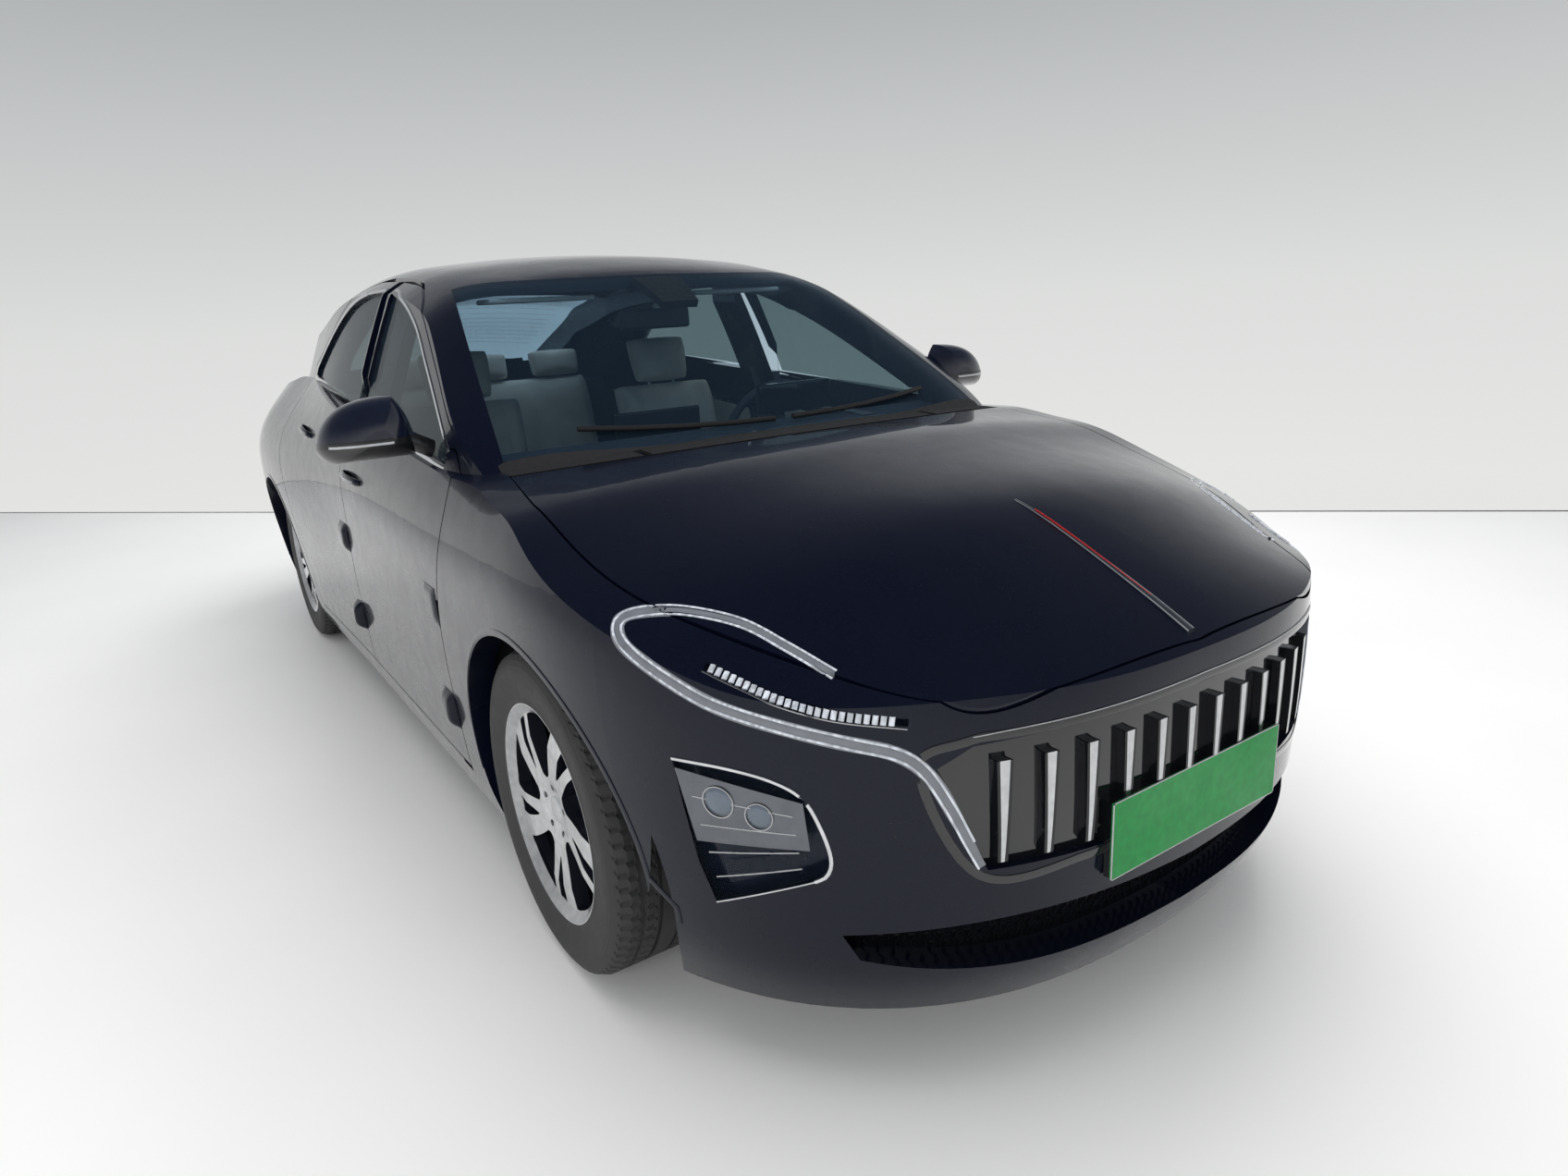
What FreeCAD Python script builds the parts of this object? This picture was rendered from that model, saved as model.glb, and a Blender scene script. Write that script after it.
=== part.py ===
import FreeCAD, Part
import math
import os
from FreeCAD import Matrix, Vector

# Overall sizes of the car
LENGTH = 5040.0
WIDTH = 1910.0
HEIGHT = 1569.0
WHEELBASE = 2990.0
FRONT_OVERHANG = 930.0
SILL_CLEARANCE = 165.0

# Walls, gaps and glass
PANEL_WALL = 60.0
DOOR_WALL = 115.0
SIDE_WALL = 180.0
FRAME_WALL = 40.0
FRAME_RECESS = 75.0
PILLAR_WALL = 115.0
RECESS_GAP = 5.0
SHUT_GAP = 5.0
BONNET_REAR_GAP = 14.0
LID_FRONT_GAP = 7.0
HINGE_PIN_RADIUS = 8.0
HINGE_CLEARANCE = 0.3
HINGE_EYE_RADIUS = 15.0
HINGE_HEIGHT = 36.0
HINGE_ARM_HALF = 12.0
BONNET_PIN_RADIUS = 5.0
BONNET_EYE_RADIUS = 10.0
BONNET_ARM_HALF = 6.0
BONNET_ARM_LENGTH = 78.0
SWAN_NECK_REACH = 119.0
SWAN_NECK_RADIUS = 9.0
GLASS = 6.0
SIDE_GLASS_INSET = 12.0
OVERRUN = 400.0

# Greenhouse
CROWN = 48.0
ROOF_ROUND = 26.0
SIDE_LEAN_SHARE = 0.42
SIDE_BULGE = 10.0

# Wheels and tyres
TRACK = 1544.0
TYRE_DIAMETER = 703.0
TYRE_WIDTH = 235.0
TYRE_SHOULDER = 34.0
RIM_DIAMETER = 517.0
RIM_WIDTH = 215.0
RIM_WALL = 12.0
RIM_SEAT = 20.0
HUB_RADIUS = 74.0
RIM_LIP = 2.0
CAP_RADIUS = 34.0
HUB_SINK = 8.0
FACE_RISE = 6.0
SPOKE_PAIRS = 5
SPOKE_DEPTH = 29.0
SPOKE_INSET = 14.0
DISC_DIAMETER = 340.0
DISC_THICKNESS = 28.0
ARCH_RADIUS = 392.0
LINER_RADIUS = 440.0
LINER_WALL = 6.0
WHEELHOUSE_INNER = 450.0
STEER_INSET = 72.0

# Hubs, brakes and suspension
DISC_OFFSET = -29.5
STUB_RADIUS = 30.0
STUB_LENGTH = 32.0
BEARING_CLEARANCE = 0.3
BALL_CLEARANCE = 0.3
BALL_PIN_RADIUS = 10.0
BEARING_GAP = 5.0
RING_RADIUS = 64.0
JOINT_BORE = 44.0
ARM_HALF = 22.0
ARM_WALL = 24.0
PIN_GAP = 12.5
LOWER_ARM_HEIGHT = 185.0
UPPER_ARM_HEIGHT = 745.0
NECK_GAP = 12.0
NECK_WALL = 20.0
CALLIPER_OUTER = 214.0
CALLIPER_INNER = 128.0
CALLIPER_HALF = 95.0
CALLIPER_WALL = 28.0
PAD_GAP = 5.0
BRACKET_LAP = 12.0
LOWER_BUSH_INSET = 400.0
LOWER_BUSH_HALF = 100.0
UPPER_BUSH_HALF = 30.0
SUBFRAME_LENGTH = 300.0
SUBFRAME_HEIGHT = 60.0
DAMPER_RADIUS = 32.0
SPRING_RADIUS = 62.0
SHAFT_RADIUS = 14.0
SHAFT_JOINT_RADIUS = 34.0

DAMPER_SHIFT = 85.0
DAMPER_INSET = 100.0
DAMPER_TOP_SHARE = 0.95
SHAFT_JOINT_GAP = 10.0
REAR_HOUSE_INNER = 610.0

# Underbody and cabin
FLOOR_HEIGHT = 320.0
FLOOR_WALL = 30.0
BULKHEAD_WALL = 30.0
PACK_LENGTH = 1750.0
PACK_WIDTH = 1240.0
PACK_HEIGHT = 135.0
DRIVE_LENGTH = 420.0
DRIVE_WIDTH = 560.0
DRIVE_HEIGHT = 330.0
MOUNT_HALF = 25.0
RAIL_WIDTH = 80.0
RAIL_HEIGHT = 120.0
SEAT_WIDTH = 520.0
SEAT_LENGTH = 520.0
CUSHION_HEIGHT = 150.0
BACK_HEIGHT = 620.0
BACK_DEPTH = 130.0
HEADREST_WIDTH = 260.0
HEADREST_HEIGHT = 160.0
HEADREST_DEPTH = 90.0
SEAT_GAP_HALF = 150.0
STEERING_WHEEL = 370.0
STEERING_RIM = 28.0
CONSOLE_GAP = 20.0
DASH_LAP = 10.0
STEERING_BOSS = 60.0
STEERING_TILT = 25.0
PIN_CLEARANCE = 0.5
COLUMN_LENGTH = 230.0
SEAT_RISE = 110.0
SEAT_STEP = 44.0
TOE_RISE = 150.0
BULKHEAD_RISE = 40.0
MIRROR_LENGTH = 100.0
MIRROR_RECESS = 8.0
MIRROR_FOOT_RADIUS = 22.0
WIPER_RADIUS = 7.0
WIPER_LIFT = 9.0
WIPER_BOW = 60.0
SEAL_BORDER = 50.0
APERTURE_CORNER = 120.0
LINER_FOOT = 60.0
RAIL_FOOT = 400.0
TOWER_HALF = 110.0
RADIATOR_WALL = 60.0
MIRROR_WIDTH = 230.0
MIRROR_HEIGHT = 150.0

# Number plate, grille and lamps
PLATE_WIDTH = 480.0
PLATE_HEIGHT = 140.0
PLATE_WALL = 6.0
PLATE_PLINTH = 12.0
PLATE_CENTRE = 466.0
BAR_PITCH = 78.0
BAR_COUNT = 12
BAR_TOP_WIDTH = 26.0
BAR_FOOT_WIDTH = 16.0
LAMP_DEPTH = 25.0

# Places along the car: -1 is the tail, 0 the rear axle, 1 the front axle, 2 the nose
FRONT_AXLE = LENGTH / 2 - FRONT_OVERHANG
REAR_AXLE = FRONT_AXLE - WHEELBASE
REAR_OVERHANG = REAR_AXLE + LENGTH / 2
AXLE_HEIGHT = TYRE_DIAMETER / 2

# Half outlines of the lower body: height, nose, tail, half width at front axle, middle, rear axle
BELT_SHARES = [
    (0.105, 1.930, -0.929, 0.903, 0.906, 0.920),
    (0.166, 1.978, -0.964, 0.929, 0.932, 0.950),
    (0.268, 1.995, -0.989, 0.948, 0.943, 0.975),
    (0.382, 2.000, -1.000, 0.960, 0.955, 0.992),
    (0.497, 1.991, -1.000, 0.960, 0.958, 1.000),
    (0.574, 1.946, -0.987, 0.940, 0.955, 0.982),
    (0.637, 1.871, -0.973, 0.890, 0.930, 0.925),
    (0.701, 1.763, -0.946, 0.817, 0.890, 0.835),
    (0.765, 1.656, -0.911, 0.733, 0.844, 0.740)]
BELT_TOP_SHARE = 0.765
NOSE_START_SHARE = 0.970
TAIL_START_SHARE = -0.045
END_POWER_SHARE = 0.8

# Centre line of the bonnet, cabin and boot deck, and its fall towards the sides
DECK_SHARES = [
    (-1.036, 0.7075), (-0.848, 0.717), (-0.536, 0.7266), (-0.179, 0.7393), (0.095, 0.747),
    (0.268, 0.7279), (0.468, 0.7043), (0.669, 0.6851), (0.833, 0.6705), (0.913, 0.6641),
    (1.118, 0.6437), (1.519, 0.6042), (1.763, 0.5468), (1.892, 0.5099), (1.978, 0.4857), (2.043,
                                                                                          0.4685)]
FALL_SHARES = [
    (-1.036, 0.042), (-0.268, 0.020), (0.033, 0.006), (0.268, 0.008), (0.468, 0.011), (0.669, 0.017),
    (0.833, 0.023), (0.903, 0.020), (0.970, 0.0306), (1.129, 0.0478), (1.333, 0.0669), (1.548, 0.0892),
    (1.763, 0.0956), (2.043, 0.0382)]
FALL_REACH_SHARE = 0.838
FALL_POWER_SHARE = 2.2

# Centre line of windscreen, roof and rear window, and half width of the greenhouse at the belt
ROOF_SHARES = [
    (-0.893, 0.6437), (-0.759, 0.6979), (-0.580, 0.7553), (-0.357, 0.8158), (-0.089, 0.8808),
    (0.067, 0.9344), (0.167, 0.9739), (0.268, 0.9943), (0.385, 1.0), (0.535, 0.9822),
    (0.619, 0.956), (0.669, 0.9293), (0.719, 0.8783), (0.769, 0.819), (0.836, 0.7406), (0.900, 0.666),
    (0.953, 0.6055)]
CABIN_SHARES = [
    (-0.893, 0.545), (-0.625, 0.628), (-0.179, 0.749), (0.100, 0.829), (0.268, 0.865), (0.468, 0.875),
    (0.569, 0.875), (0.736, 0.871), (0.836, 0.855), (0.900, 0.780), (0.953, 0.733)]
GLASS_BASE_SHARE = 0.612
GLASS_KNEE_SHARE = 0.663
GLASS_TOP_SHARE = 1.083
GLASS_STEPS = 4
BULGE_HEIGHT_SHARE = 0.830
BULGE_SPREAD_SHARE = 0.170
CABIN_ENDS_SHARES = (0.948, -0.870)
ROOF_ENDS_SHARES = (0.970, -0.950)
ROOF_STEPS = 8
ROOF_OVERLAP_SHARE = 1.250

# Side windows: upper line, lower line
WINDOW_TOP_SHARES = [
    (0.100, 0.758), (0.234, 0.883), (0.327, 0.934), (0.475, 0.942), (0.552, 0.918), (0.635, 0.868),
    (0.702, 0.804), (0.769, 0.733), (0.843, 0.648)]
WINDOW_BELT_SHARES = [(0.100, 0.751), (0.256, 0.728), (0.413, 0.706), (0.843, 0.644)]
FRAME_BORDER = 22.0
FRONT_WINDOW_SHARES = (0.810, 0.494)
REAR_DOOR_WINDOW_SHARES = (0.454, 0.125)
HOLE_REACH_SHARE = 0.750
DOOR_FRONT_SHARE = 0.880
FRAME_FRONT_SHARE = 0.853
FRONT_FRAME_POINTS = 8
REAR_FRAME_POINTS = 15
BELT_BORDER = 8.0

# Bonnet: its shut line from the rear middle round to the front middle, as length, half width, height
BONNET_REAR_SHARES = [(0.937, 0.0, 0.662), (0.928, 0.420, 0.664), (0.903, 0.800, 0.662)]
BONNET_SIDE_SHARES = [
    (0.970, 0.830, 0.625), (1.129, 0.835, 0.598), (1.355, 0.810, 0.554), (1.731, 0.639, 0.507),
    (1.892, 0.529, 0.490), (1.962, 0.270, 0.486), (1.975, 0.0, 0.486)]
BONNET_DRAFT_SHARE = 0.35
BONNET_BASE_SHARE = 0.440

# Windscreen, roof and rear window in plan: half width at places along the car
WINDSCREEN_SHARES = [(0.868, 0.780), (0.770, 0.722), (0.627, 0.625)]
DITCH_SHARES = [(0.627, 0.625), (0.468, 0.617), (0.268, 0.590), (0.134, 0.568)]
REAR_WINDOW_SHARES = [(0.134, 0.568), (-0.200, 0.560), (-0.600, 0.545)]
WINDSCREEN_TOP_SHARES = [(0.627, 0.625), (0.655, 0.350), (0.664, 0.0)]
REAR_WINDOW_TOP_SHARES = [(0.134, 0.568), (0.120, 0.300), (0.114, 0.0)]
REAR_WINDOW_LOW_SHARES = [(-0.600, 0.545), (-0.616, 0.300), (-0.622, 0.0)]
WINDSCREEN_LOW_SHARES = [(0.868, 0.780), (0.895, 0.420), (0.902, 0.0)]

# Boot lid and rear bumper
LID_HALF_SHARE = 0.590
LID_FOOT_SHARE = 0.500
LID_LOW_SHARE = 0.445
REAR_SPLIT_SHARES = [(-0.340, 0.330), (-0.500, 0.400), (-0.800, 0.446), (-1.080, 0.446)]
TAIL_LAMP_LOW_SHARE = 0.560
TAIL_LAMP_HIGH_SHARE = 0.620
TAIL_LAMP_START_SHARE = -0.800

# Front lamps on the right side: length, half width, height
LAMP_LEAN_SHARES = (0.83, -0.43, 0.36)
DAY_LAMP_SHARES = [
    (1.725, 0.639, 0.502), (1.633, 0.670, 0.522), (1.538, 0.705, 0.540), (1.442, 0.768, 0.549),
    (1.390, 0.828, 0.548), (1.386, 0.865, 0.543), (1.411, 0.880, 0.531), (1.461, 0.875, 0.516),
    (1.540, 0.850, 0.497), (1.615, 0.812, 0.478), (1.717, 0.742, 0.461), (1.799, 0.664, 0.446),
    (1.846, 0.604, 0.433), (1.870, 0.569, 0.413), (1.890, 0.534, 0.372), (1.904, 0.507, 0.333), (1.914,
                                                                                                 0.482,
                                                                                                 0.300)]
LAMP_START_SHARE = 0.300
LAMP_DEPTH_SHARE = 0.400
DAY_LAMP_WIDTH = 24.0
DAY_LAMP_TIP_WIDTH = 10.0
LAMP_STRIP_SHARES = [
    (1.575, 0.800, 0.512), (1.631, 0.765, 0.497), (1.700, 0.733, 0.485), (1.780, 0.680, 0.476),
    (1.855, 0.590, 0.467)]
LAMP_STRIP_WIDTH = 20.0
LAMP_STRIP_TIP_WIDTH = 12.0
CORNER_LAMP_SHARES = [
    [(1.532, 0.857, 0.410)], [(1.631, 0.805, 0.410)],
    [(1.698, 0.759, 0.402), (1.738, 0.725, 0.385), (1.758, 0.705, 0.353), (1.767, 0.692, 0.317)],
    [(1.762, 0.697, 0.297), (1.745, 0.712, 0.288)], [(1.580, 0.817, 0.241)],
    [(1.558, 0.835, 0.290)], [(1.545, 0.849, 0.356)]]

# Grille, lower intake: half width and height
GRILLE_SHARES = [[(0.0, 0.442), (0.391, 0.440), (0.500, 0.436)], [(0.566, 0.411)], [(0.473, 0.294)],
                 [(0.0, 0.290)]]
GRILLE_INSET = 16.0
BAR_PLACE_SHARE = 1.500
BAR_TOP_SHARE = 0.416
BAR_FOOT_SHARE = 0.301
INTAKE_SHARES = [[(0.0, 0.226), (0.286, 0.232), (0.493, 0.231), (0.676, 0.222)], [(0.651, 0.190)],
                 [(0.445, 0.168), (0.267, 0.163), (0.0, 0.160)]]
MESH_WALL = 12.0
MESH_BORDER = 20.0

# Cabin and underbody places
FLOOR_TOE_SHARE = 0.836
FLOOR_HEEL_SHARE = 0.250
SEAT_STEP_SHARE = 0.055
COWL_FLOOR_SHARE = 0.600
BOOT_END_SHARE = -0.920
BOOT_FLOOR_SHARE = 0.312
BULKHEAD_SHARE = 0.010
SHELF_SHARE = 0.660
SHELF_REAR_SHARE = -0.520
PACK_PLACE_SHARE = 0.215
FIREWALL_SHARE = 0.897
RAIL_FRONT_SHARE = 1.700
RADIATOR_TOP_SHARE = 0.440
DASH_SHARES = [(0.740, 0.600), (0.730, 0.500), (0.770, 0.400), (0.884, 0.400), (0.884, 0.640),
               (0.800, 0.655)]
CONSOLE_REAR_SHARE = 0.400
CONSOLE_TOP_SHARE = 0.400
SEAT_PLACE_SHARE = 0.430
REAR_SEAT_PLACE_SHARE = 0.095
REAR_SEAT_HALF_SHARE = 0.595
BACK_LEAN_SHARE = 0.32
STEERING_PLACE_SHARE = 0.655
BOSS_DEPTH_SHARE = 1.500
SPOKE_WIDTH_SHARE = 1.300
COLUMN_SHARE = 0.600
STEERING_HEIGHT_SHARE = 0.600
DRIVER_SHARE = 0.430
APERTURE_SILL_SHARE = 0.215
FRONT_APERTURE_TOP_SHARES = (0.787, 0.497)
REAR_APERTURE_TOP_SHARES = (0.443, 0.160)
APERTURE_FRONT_SHARE = 0.800
REAR_APERTURE_SHARES = [(0.230, 0.215), (0.165, 0.400), (0.135, 0.560), (0.125, 0.700)]
MIRROR_PLACE_SHARE = 0.755
MIRROR_HALF_SHARE = 1.015
MIRROR_HEIGHT_SHARE = 0.712
MIRROR_GLASS_SHARE = 0.920
MIRROR_MIDDLE_SHARES = (0.450, 0.350)
MIRROR_SHARES = [
    [(0.040, 0.000), (0.850, 0.000)], [(0.850, 0.000), (0.960, 0.100), (1.000, 0.260)],
    [(1.000, 0.260), (0.930, 0.560), (0.740, 0.840), (0.480, 0.970), (0.200, 1.000)],
    [(0.200, 1.000), (0.100, 0.780), (0.010, 0.320), (0.000, 0.100), (0.040, 0.000)]]
MIRROR_DOME_SHARES = [(0.000, 1.000), (0.250, 0.985), (0.500, 0.920), (0.720, 0.790), (0.880, 0.600),
                      (0.970, 0.400), (1.000, 0.220)]
MIRROR_FOOT_SHARE = 0.860
MIRROR_FOOT_HEIGHT_SHARE = 0.670
WIPER_PLACE_SHARE = 0.893

# Wheel face: its five pockets and the slots in its split spokes, as radius and place in a fifth of a turn
FACE_RISE_SHARE = 0.700
SWIRL_SHARE = 0.220
POCKET_SHARES = [
    [(0.370, 0.100), (0.630, 0.040), (0.940, 0.020)], [(0.940, 0.020), (0.965, 0.300), (0.940, 0.570)],
    [(0.940, 0.570), (0.630, 0.520), (0.370, 0.440)], [(0.370, 0.440), (0.330, 0.270), (0.370, 0.100)]]
SLOT_SHARES = [
    [(0.460, 0.725), (0.660, 0.660), (0.940, 0.665)], [(0.940, 0.665), (0.955, 0.735), (0.940, 0.800)],
    [(0.940, 0.800), (0.660, 0.785), (0.460, 0.755)], [(0.460, 0.755), (0.450, 0.740), (0.460, 0.725)]]

# Front wing and bumper
WING_TOP_SHARE = 0.655
COWL_HALF_SHARE = 0.795
COWL_FRONT_SHARE = 0.960
WING_SPLIT_SHARES = [(1.400, 0.320), (1.372, 0.440), (1.366, 0.560)]

# Doors
DOOR_SILL_SHARE = 0.167
DOOR_DRAFT_SHARE = 0.064
DOOR_REFERENCE_SHARE = 0.953
MIDDLE_LINE_SHARES = [(0.472, 0.167), (0.473, 0.318), (0.485, 0.446), (0.492, 0.637), (0.475, 0.955)]
REAR_LINE_SHARES = [(0.174, 0.167), (0.172, 0.210), (0.147, 0.382), (0.117, 0.574), (0.090, 0.752)]
MOUNT_SHARE = 0.400
HINGE_HEIGHT_SHARES = (0.255, 0.433)
HINGE_ROOT_SHARE = 0.806
BONNET_HINGE_SHARES = (0.903, 0.471, 0.6512)
LID_HINGE_SHARES = (-0.545, 0.262, 0.7260)
LID_SHAFT_END_SHARE = 0.490
LID_BRACKET_SHARE = 0.585
SWAN_NECK_SHARES = [(0.0, 0.0), (0.0, -0.84), (-0.42, -0.91), (-0.84, -0.63), (-1.05, -0.17)]
FRONT_HINGE_SHARE = 0.811
FRONT_HINGE_REACH_SHARE = 0.948
FRONT_EDGE_SHARES = [(0.822, 0.160), (0.826, 0.255), (0.841, 0.486), (0.856, 0.596), (0.846, 0.644),
                     (0.824, 0.676)]
REAR_HINGE_SHARE = 0.458
REAR_HINGE_REACH_SHARE = 0.953


def blend(t):
    t = min(1.0, max(0.0, t))
    return t * t * (3.0 - 2.0 * t)


def station(share):
    if share > 1.0:
        return FRONT_AXLE + (share - 1.0) * FRONT_OVERHANG
    if share < 0.0:
        return REAR_AXLE + share * REAR_OVERHANG
    return REAR_AXLE + share * WHEELBASE


def share_at(x):
    if x > FRONT_AXLE:
        return 1.0 + (x - FRONT_AXLE) / FRONT_OVERHANG
    if x < REAR_AXLE:
        return (x - REAR_AXLE) / REAR_OVERHANG
    return (x - REAR_AXLE) / WHEELBASE


def level(share):
    return share * HEIGHT


def reach(share):
    return share * WIDTH / 2


def follow(shares, at, column=1):
    """Smooth value of one column of a table of shares."""
    last = len(shares) - 1
    row = 0
    while row < last - 1 and at > shares[row + 1][0]:
        row += 1
    def slope(number):
        low = shares[max(0, number - 1)]
        high = shares[min(last, number + 1)]
        return (high[column] - low[column]) / (high[0] - low[0])
    step = shares[row + 1][0] - shares[row][0]
    t = min(1.0, max(0.0, (at - shares[row][0]) / step))
    first, second = shares[row][column], shares[row + 1][column]
    return ((1 + 2 * t) * (1 - t) ** 2 * first + t * (1 - t) ** 2 * step * slope(row)
            + t * t * (3 - 2 * t) * second + t * t * (t - 1) * step * slope(row + 1))


def surface(grid):
    sheet = Part.BSplineSurface()
    sheet.interpolate(grid)
    return sheet.toShape()


def edge_on(face, axis, value):
    """The edge of a face that lies at one coordinate."""
    for edge in face.Edges:
        first, last = edge.FirstParameter, edge.LastParameter
        places = [edge.valueAt(first + (last - first) * t) for t in (0.0, 0.3, 0.6, 1.0)]
        if all(abs(getattr(place, axis) - value) < 0.05 for place in places):
            return edge


def closed(faces):
    shell = Part.Shell(faces)
    shell.sewShape()
    body = Part.makeSolid(shell)
    if body.Volume < 0:
        body.reverse()
    return body


def mirrored(shape):
    return shape.mirror(Vector(), Vector(0, 1, 0))


# Lower body


def half_width(x, height_share):
    columns = [follow(BELT_SHARES, height_share, column) for column in (3, 4, 5)]
    if x > 0:
        return reach(columns[1] + (columns[0] - columns[1]) * blend(x / FRONT_AXLE))
    return reach(columns[1] + (columns[2] - columns[1]) * blend(x / REAR_AXLE))


def belt_points(z, inset):
    """Half outline at one height, from nose to tail."""
    height_share = z / HEIGHT
    nose = station(follow(BELT_SHARES, height_share, 1)) - inset
    tail = station(follow(BELT_SHARES, height_share, 2)) + inset
    nose_start = station(NOSE_START_SHARE)
    tail_start = station(TAIL_START_SHARE)
    points = []
    for number in range(14):
        angle = number / 14 * math.pi / 2
        x = nose_start + (nose - nose_start) * math.cos(angle) ** END_POWER_SHARE
        out_by = (half_width(x, height_share) - inset) * math.sin(angle) ** END_POWER_SHARE
        points.append(Vector(x, out_by, z))
    for number in range(13):
        x = nose_start + (tail_start - nose_start) * number / 12
        points.append(Vector(x, half_width(x, height_share) - inset, z))
    for number in range(14):
        angle = math.pi / 2 * (13 - number) / 14
        x = tail_start + (tail - tail_start) * math.cos(angle) ** END_POWER_SHARE
        out_by = (half_width(x, height_share) - inset) * math.sin(angle) ** END_POWER_SHARE
        points.append(Vector(x, out_by, z))
    points[-1].y = 0
    points[0].y = 0
    return points


def belt(inset):
    top = level(BELT_TOP_SHARE)
    heights = [SILL_CLEARANCE + (top - SILL_CLEARANCE) * number / 12 for number in range(13)]
    rows = [belt_points(z, inset) for z in heights]
    left = surface(rows)
    right = surface([[Vector(p.x, -p.y, p.z) for p in row] for row in rows])
    faces = [left, right]
    for z in (heights[0], heights[-1]):
        edges = [edge_on(left, "z", z), edge_on(right, "z", z)]
        faces.append(Part.Face(Part.Wire(Part.__sortEdges__(edges))))
    return closed(faces)


def deck(x, y):
    share = share_at(x)
    fall = level(follow(FALL_SHARES, share)) * (abs(y) / reach(FALL_REACH_SHARE)) ** FALL_POWER_SHARE
    return level(follow(DECK_SHARES, share)) - fall


def lower_body(inset):
    xs = [LENGTH * (0.515 - 1.03 * number / 40) for number in range(41)]
    ys = [WIDTH * (-0.525 + 1.05 * number / 16) for number in range(17)]
    top = surface([[Vector(x, y, deck(x, y) - inset) for y in ys] for x in xs])
    return belt(inset).common(top.extrude(Vector(0, 0, -HEIGHT)))


# Greenhouse


def cabin_side(x, z):
    bulge = SIDE_BULGE * (1 - ((z - level(BULGE_HEIGHT_SHARE)) / level(BULGE_SPREAD_SHARE)) ** 2)
    return reach(follow(CABIN_SHARES, share_at(x))) - (z - level(GLASS_KNEE_SHARE)) * SIDE_LEAN_SHARE + bulge


def cabin_sides(inset):
    """Closed solid between the two leaning side surfaces."""
    first, last = [station(share) for share in CABIN_ENDS_SHARES]
    xs = [first + (last - first) * number / 28 for number in range(29)]
    heights = spread(level(GLASS_BASE_SHARE), level(GLASS_TOP_SHARE), GLASS_STEPS + 1)
    sides = [surface([[Vector(x, side * (cabin_side(x, z) - inset), z) for x in xs] for z in heights])
             for side in (-1, 1)]
    faces = list(sides)
    for axis, values in (("z", (heights[0], heights[-1])), ("x", (first, last))):
        for value in values:
            faces.append(Part.makeRuledSurface(edge_on(sides[0], axis, value),
                                               edge_on(sides[1], axis, value)))
    return closed(faces)


def roof_line(x):
    return level(follow(ROOF_SHARES, share_at(x)))


def upper_body(inset):
    first, last = [station(share) for share in ROOF_ENDS_SHARES]
    rows = []
    for number in range(45):
        x = first + (last - first) * number / 44
        crest = roof_line(x)
        edge = cabin_side(x, max(crest, level(GLASS_KNEE_SHARE)))
        row = []
        for place in range(-ROOF_STEPS, ROOF_STEPS + 1):
            t = place / ROOF_STEPS * ROOF_OVERLAP_SHARE
            drop = CROWN * t * t + ROOF_ROUND * max(0.0, (abs(t) - 0.78) / 0.22) ** 2
            row.append(Vector(x, t * edge, crest - drop - inset))
        rows.append(row)
    roof = surface(rows)
    return cabin_sides(inset).common(roof.extrude(Vector(0, 0, -HEIGHT)))


# Outlines and prisms


def curve(points):
    if len(points) == 2:
        return Part.makeLine(points[0], points[1])
    line = Part.BSplineCurve()
    line.interpolate(points)
    return line.toShape()


def outline(runs):
    """Closed wire: each run is one smooth curve that starts where the last one ended."""
    start = runs[0][0]
    edges = []
    last = None
    for run in runs:
        points = list(run)
        if last is not None and last.distanceToPoint(points[0]) > 0.01:
            points = [last] + points
        if len(points) > 1:
            edges.append(curve(points))
        last = points[-1]
    if last.distanceToPoint(start) > 0.01:
        edges.append(Part.makeLine(last, start))
    return Part.Wire(edges)


def prism(runs, direction):
    return Part.Face(outline(runs)).extrude(direction)


def window_top(x, rise):
    return level(follow(WINDOW_TOP_SHARES, share_at(x))) + rise


def window_belt(x, rise):
    return level(follow(WINDOW_BELT_SHARES, share_at(x))) + rise


def spread(first, last, count):
    return [first + (last - first) * number / (count - 1) for number in range(count)]


# Doors and the recess they close


def door_reference():
    return -reach(DOOR_REFERENCE_SHARE)


def drafted(runs):
    """Prism through the right side whose ends lean forward with depth."""
    y = door_reference() - OVERRUN
    back = -OVERRUN * DOOR_DRAFT_SHARE
    placed = [[Vector(p.x + back, y, p.z) for p in run] for run in runs]
    return prism(placed, Vector(2 * OVERRUN * DOOR_DRAFT_SHARE, 2 * OVERRUN, 0))


def frame_top(first, last, count, rise):
    return [Vector(x, 0, window_top(x, FRAME_BORDER + rise)) for x in spread(first, last, count)]


def front_door_runs(grow):
    """Front door from the side: sill, front beyond the hinge cut, frame, middle line."""
    sill = level(DOOR_SILL_SHARE) - grow
    front = station(DOOR_FRONT_SHARE)
    middle = [Vector(station(x) + SHUT_GAP / 2 - grow, 0, level(z)) for x, z in MIDDLE_LINE_SHARES]
    middle[0].z = sill
    middle[-1].z = window_top(middle[-1].x, FRAME_BORDER + grow)
    frame = frame_top(station(FRAME_FRONT_SHARE), middle[-1].x, FRONT_FRAME_POINTS, grow)
    return [[middle[0]], [Vector(front, 0, sill)], [Vector(front, 0, frame[0].z)], [frame[0]],
            frame[1:],
            list(reversed(middle[:-1]))]


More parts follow.
